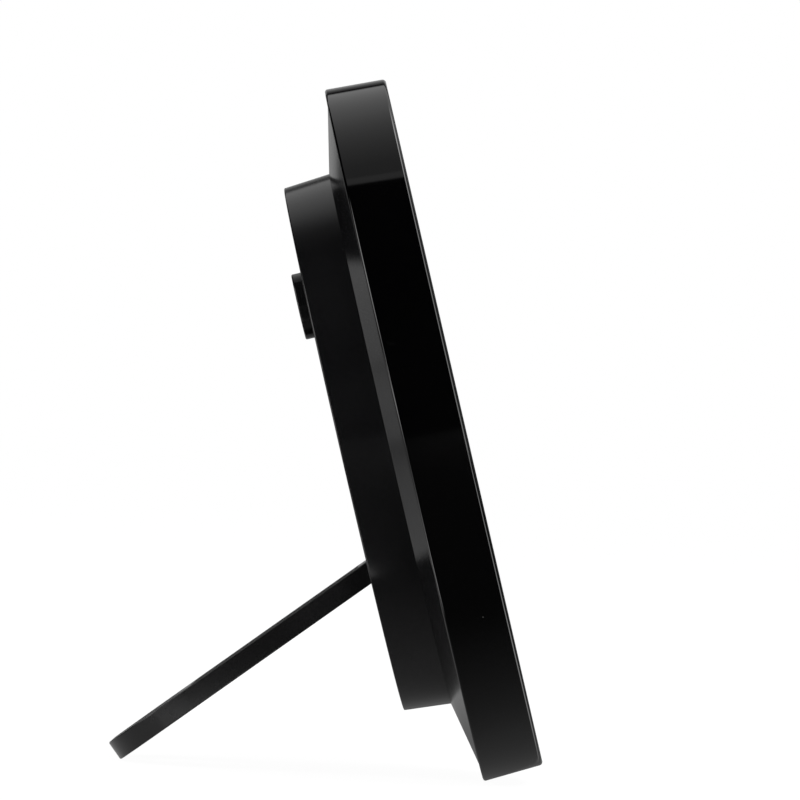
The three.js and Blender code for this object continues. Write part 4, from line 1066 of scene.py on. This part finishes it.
def makeFloor(s):
    # white to the camera; to reflected rays the floor glows in a painted reflection of strips, wedges, the
    # backdrop and a near glow
    startFresh()
    bpy.ops.mesh.primitive_plane_add(size=s["floorSize"], location=(0, 0, -s["floorDrop"]))
    floor = bpy.context.object
    floor.name = "floor"
    paint = bpy.data.materials.new("floor_paint")
    paint.use_nodes = True
    tree = paint.node_tree
    shader = tree.nodes["Principled BSDF"]
    shader.inputs["Roughness"].default_value = s["floorRough"]
    shader.inputs["Base Color"].default_value = (*s["floorColour"], 1)
    place = addNode(tree, "TexCoord", {}).outputs["Object"]
    x, y, _ = axes(tree, place)
    far = product(tree, above(tree, vectorNode(tree, "LENGTH", place), *s["farFrom"]),
                  above(tree, x, *s["farSide"]))
    # painted contact shadow round the touch point, and painted glow near and behind the clock
    fromTouch = vectorNode(tree, "DISTANCE", place, s["touch"])
    nearer = total(tree, x, spread(tree, y, *s["behindShift"]))
    near = product(tree, spread(tree, nearer, s["nearDark"], s["nearLight"], s["gap"], s["nearGlow"], True),
                   spread(tree, y, *s["behind"], 1, s["behindGain"]),
                   spread(tree, fromTouch, 0, s["touchReach"], s["touchShade"], 1))
    # painted glowing wedges, seen in the clock as reflected strips of light
    (inSlope, *inEdge), (outSlope, *outEdge) = s["dialWedge"]
    toDial = product(tree, below(tree, slanted(tree, x, y, inSlope), *inEdge),
                     above(tree, slanted(tree, x, y, outSlope), *outEdge), spread(tree, x, *s["dialWedgeFade"]))
    slope, *edge = s["backWedge"]
    aside = slanted(tree, x, y, slope)
    fade = mathNode(tree, "MAXIMUM", spread(tree, aside, *s["backWedgeFade"]),
                    spread(tree, x, *s["backWedgeFar"]))
    toDrum = product(tree, above(tree, aside, *edge), fade, below(tree, x, *s["backWedgeEnd"]))
    strip = product(tree, total(tree, toDial, toDrum), s["stripGlow"])
    mirrored = total(tree, product(tree, far, total(tree, *backdropGlow(tree, s, x, y))),
                     product(tree, opposite(tree, far), near), strip)
    ray = addNode(tree, "LightPath", {}).outputs
    reflected = mathNode(tree, "MAXIMUM", ray["Is Glossy Ray"], ray["Is Transmission Ray"])
    strength = total(tree, product(tree, reflected, mirrored),
                     product(tree, ray["Is Camera Ray"], s["floorWhite"]))
    glow = addNode(tree, "Emission", {"Strength": strength})
    lit = total(tree, reflected, product(tree, ray["Is Camera Ray"], s["floorSeen"]))
    mixShaders(tree, lit, shader, glow)
    floor.data.materials.append(paint)


def makeSurround(s):
    # white to the camera; reflections show the lit backdrop, an overhead panel and a dark room
    world = bpy.data.worlds.new("surround")
    bpy.context.scene.world = world
    world.use_nodes = True
    tree = world.node_tree
    sky = tree.nodes["Background"]
    direction = addNode(tree, "TexCoord", {}).outputs["Generated"]
    x, y, z = axes(tree, direction)
    rise = mathNode(tree, "ARCTAN2", z, x)
    sheet, walls = backdropGlow(tree, s, x, y)
    low = total(tree, product(tree, sheet, spread(tree, rise, *s["backdropFade"], 1, 0)),
                product(tree, walls, below(tree, rise, *s["sideTop"])))
    cut = mathNode(tree, "SUBTRACT", s["panelCut"], mathNode(tree, "MULTIPLY", y, s["panelSkew"]))
    inPanel = product(tree, above(tree, rise, *s["panelLow"]), below(tree, rise, cut),
                      below(tree, y, *s["panelSide"]))
    nearCut = above(tree, rise, mathNode(tree, "SUBTRACT", cut, s["panelRimWidth"]))
    panelGlow = total(tree, spread(tree, rise, *s["panelFall"], *s["panelGlow"]),
                      product(tree, nearCut, s["panelRim"]))
    dialLow, dialHigh = s["dialStrip"]
    widening = total(tree, product(tree, rise, s["dialStripSpread"]), dialHigh)
    toDial = product(tree, stripGlow(tree, direction, -dialAxis, dialLow, widening, s["stripSoft"]),
                     above(tree, rise, *s["dialStripFrom"]))
    toDrum = product(tree, stripGlow(tree, direction, dialAxis, *s["backStrip"], s["stripSoft"]),
                     above(tree, rise, *s["backStripFrom"]),
                     mathNode(tree, "MAXIMUM", spread(tree, z, *s["backStripLow"], 0, 1, True),
                              spread(tree, x, *s["backStripNear"], 1, 0, True)))
    strip = product(tree, total(tree, toDial, toDrum), s["stripGlow"])
    mirrored = total(tree, low, product(tree, inPanel, panelGlow), strip, s["room"])
    ray = addNode(tree, "LightPath", {}).outputs
    seen = mathNode(tree, "MAXIMUM", ray["Is Camera Ray"], ray["Is Transmission Ray"])
    other = mathNode(tree, "MAXIMUM", seen, ray["Is Glossy Ray"])
    strength = total(tree, seen, product(tree, ray["Is Glossy Ray"], opposite(tree, seen), mirrored),
                     product(tree, opposite(tree, other), s["ambient"]))
    tree.links.new(strength, sky.inputs["Strength"])
    sky.inputs["Color"].default_value = (1, 1, 1, 1)


def makeLamps(s):
    for name, lamp in s["lamps"].items():
        data = bpy.data.lights.new(name + "_lamp", "AREA")
        data.shape = "RECTANGLE"
        data.size, data.size_y = lamp["size"]
        data.energy = lamp["power"]
        holder = bpy.data.objects.new(name + "_lamp", data)
        bpy.context.scene.collection.objects.link(holder)
        holder.visible_glossy = False
        holder.location = lamp["at"]
        aim = Vector(lamp["to"]) - Vector(lamp["at"])
        holder.rotation_euler = aim.to_track_quat("-Z", "Y").to_euler()


makeFloor(studio)
makeSurround(studio)
makeLamps(studio)
bpy.context.scene.view_settings.view_transform = "Standard"
print("studio made")

startFresh()
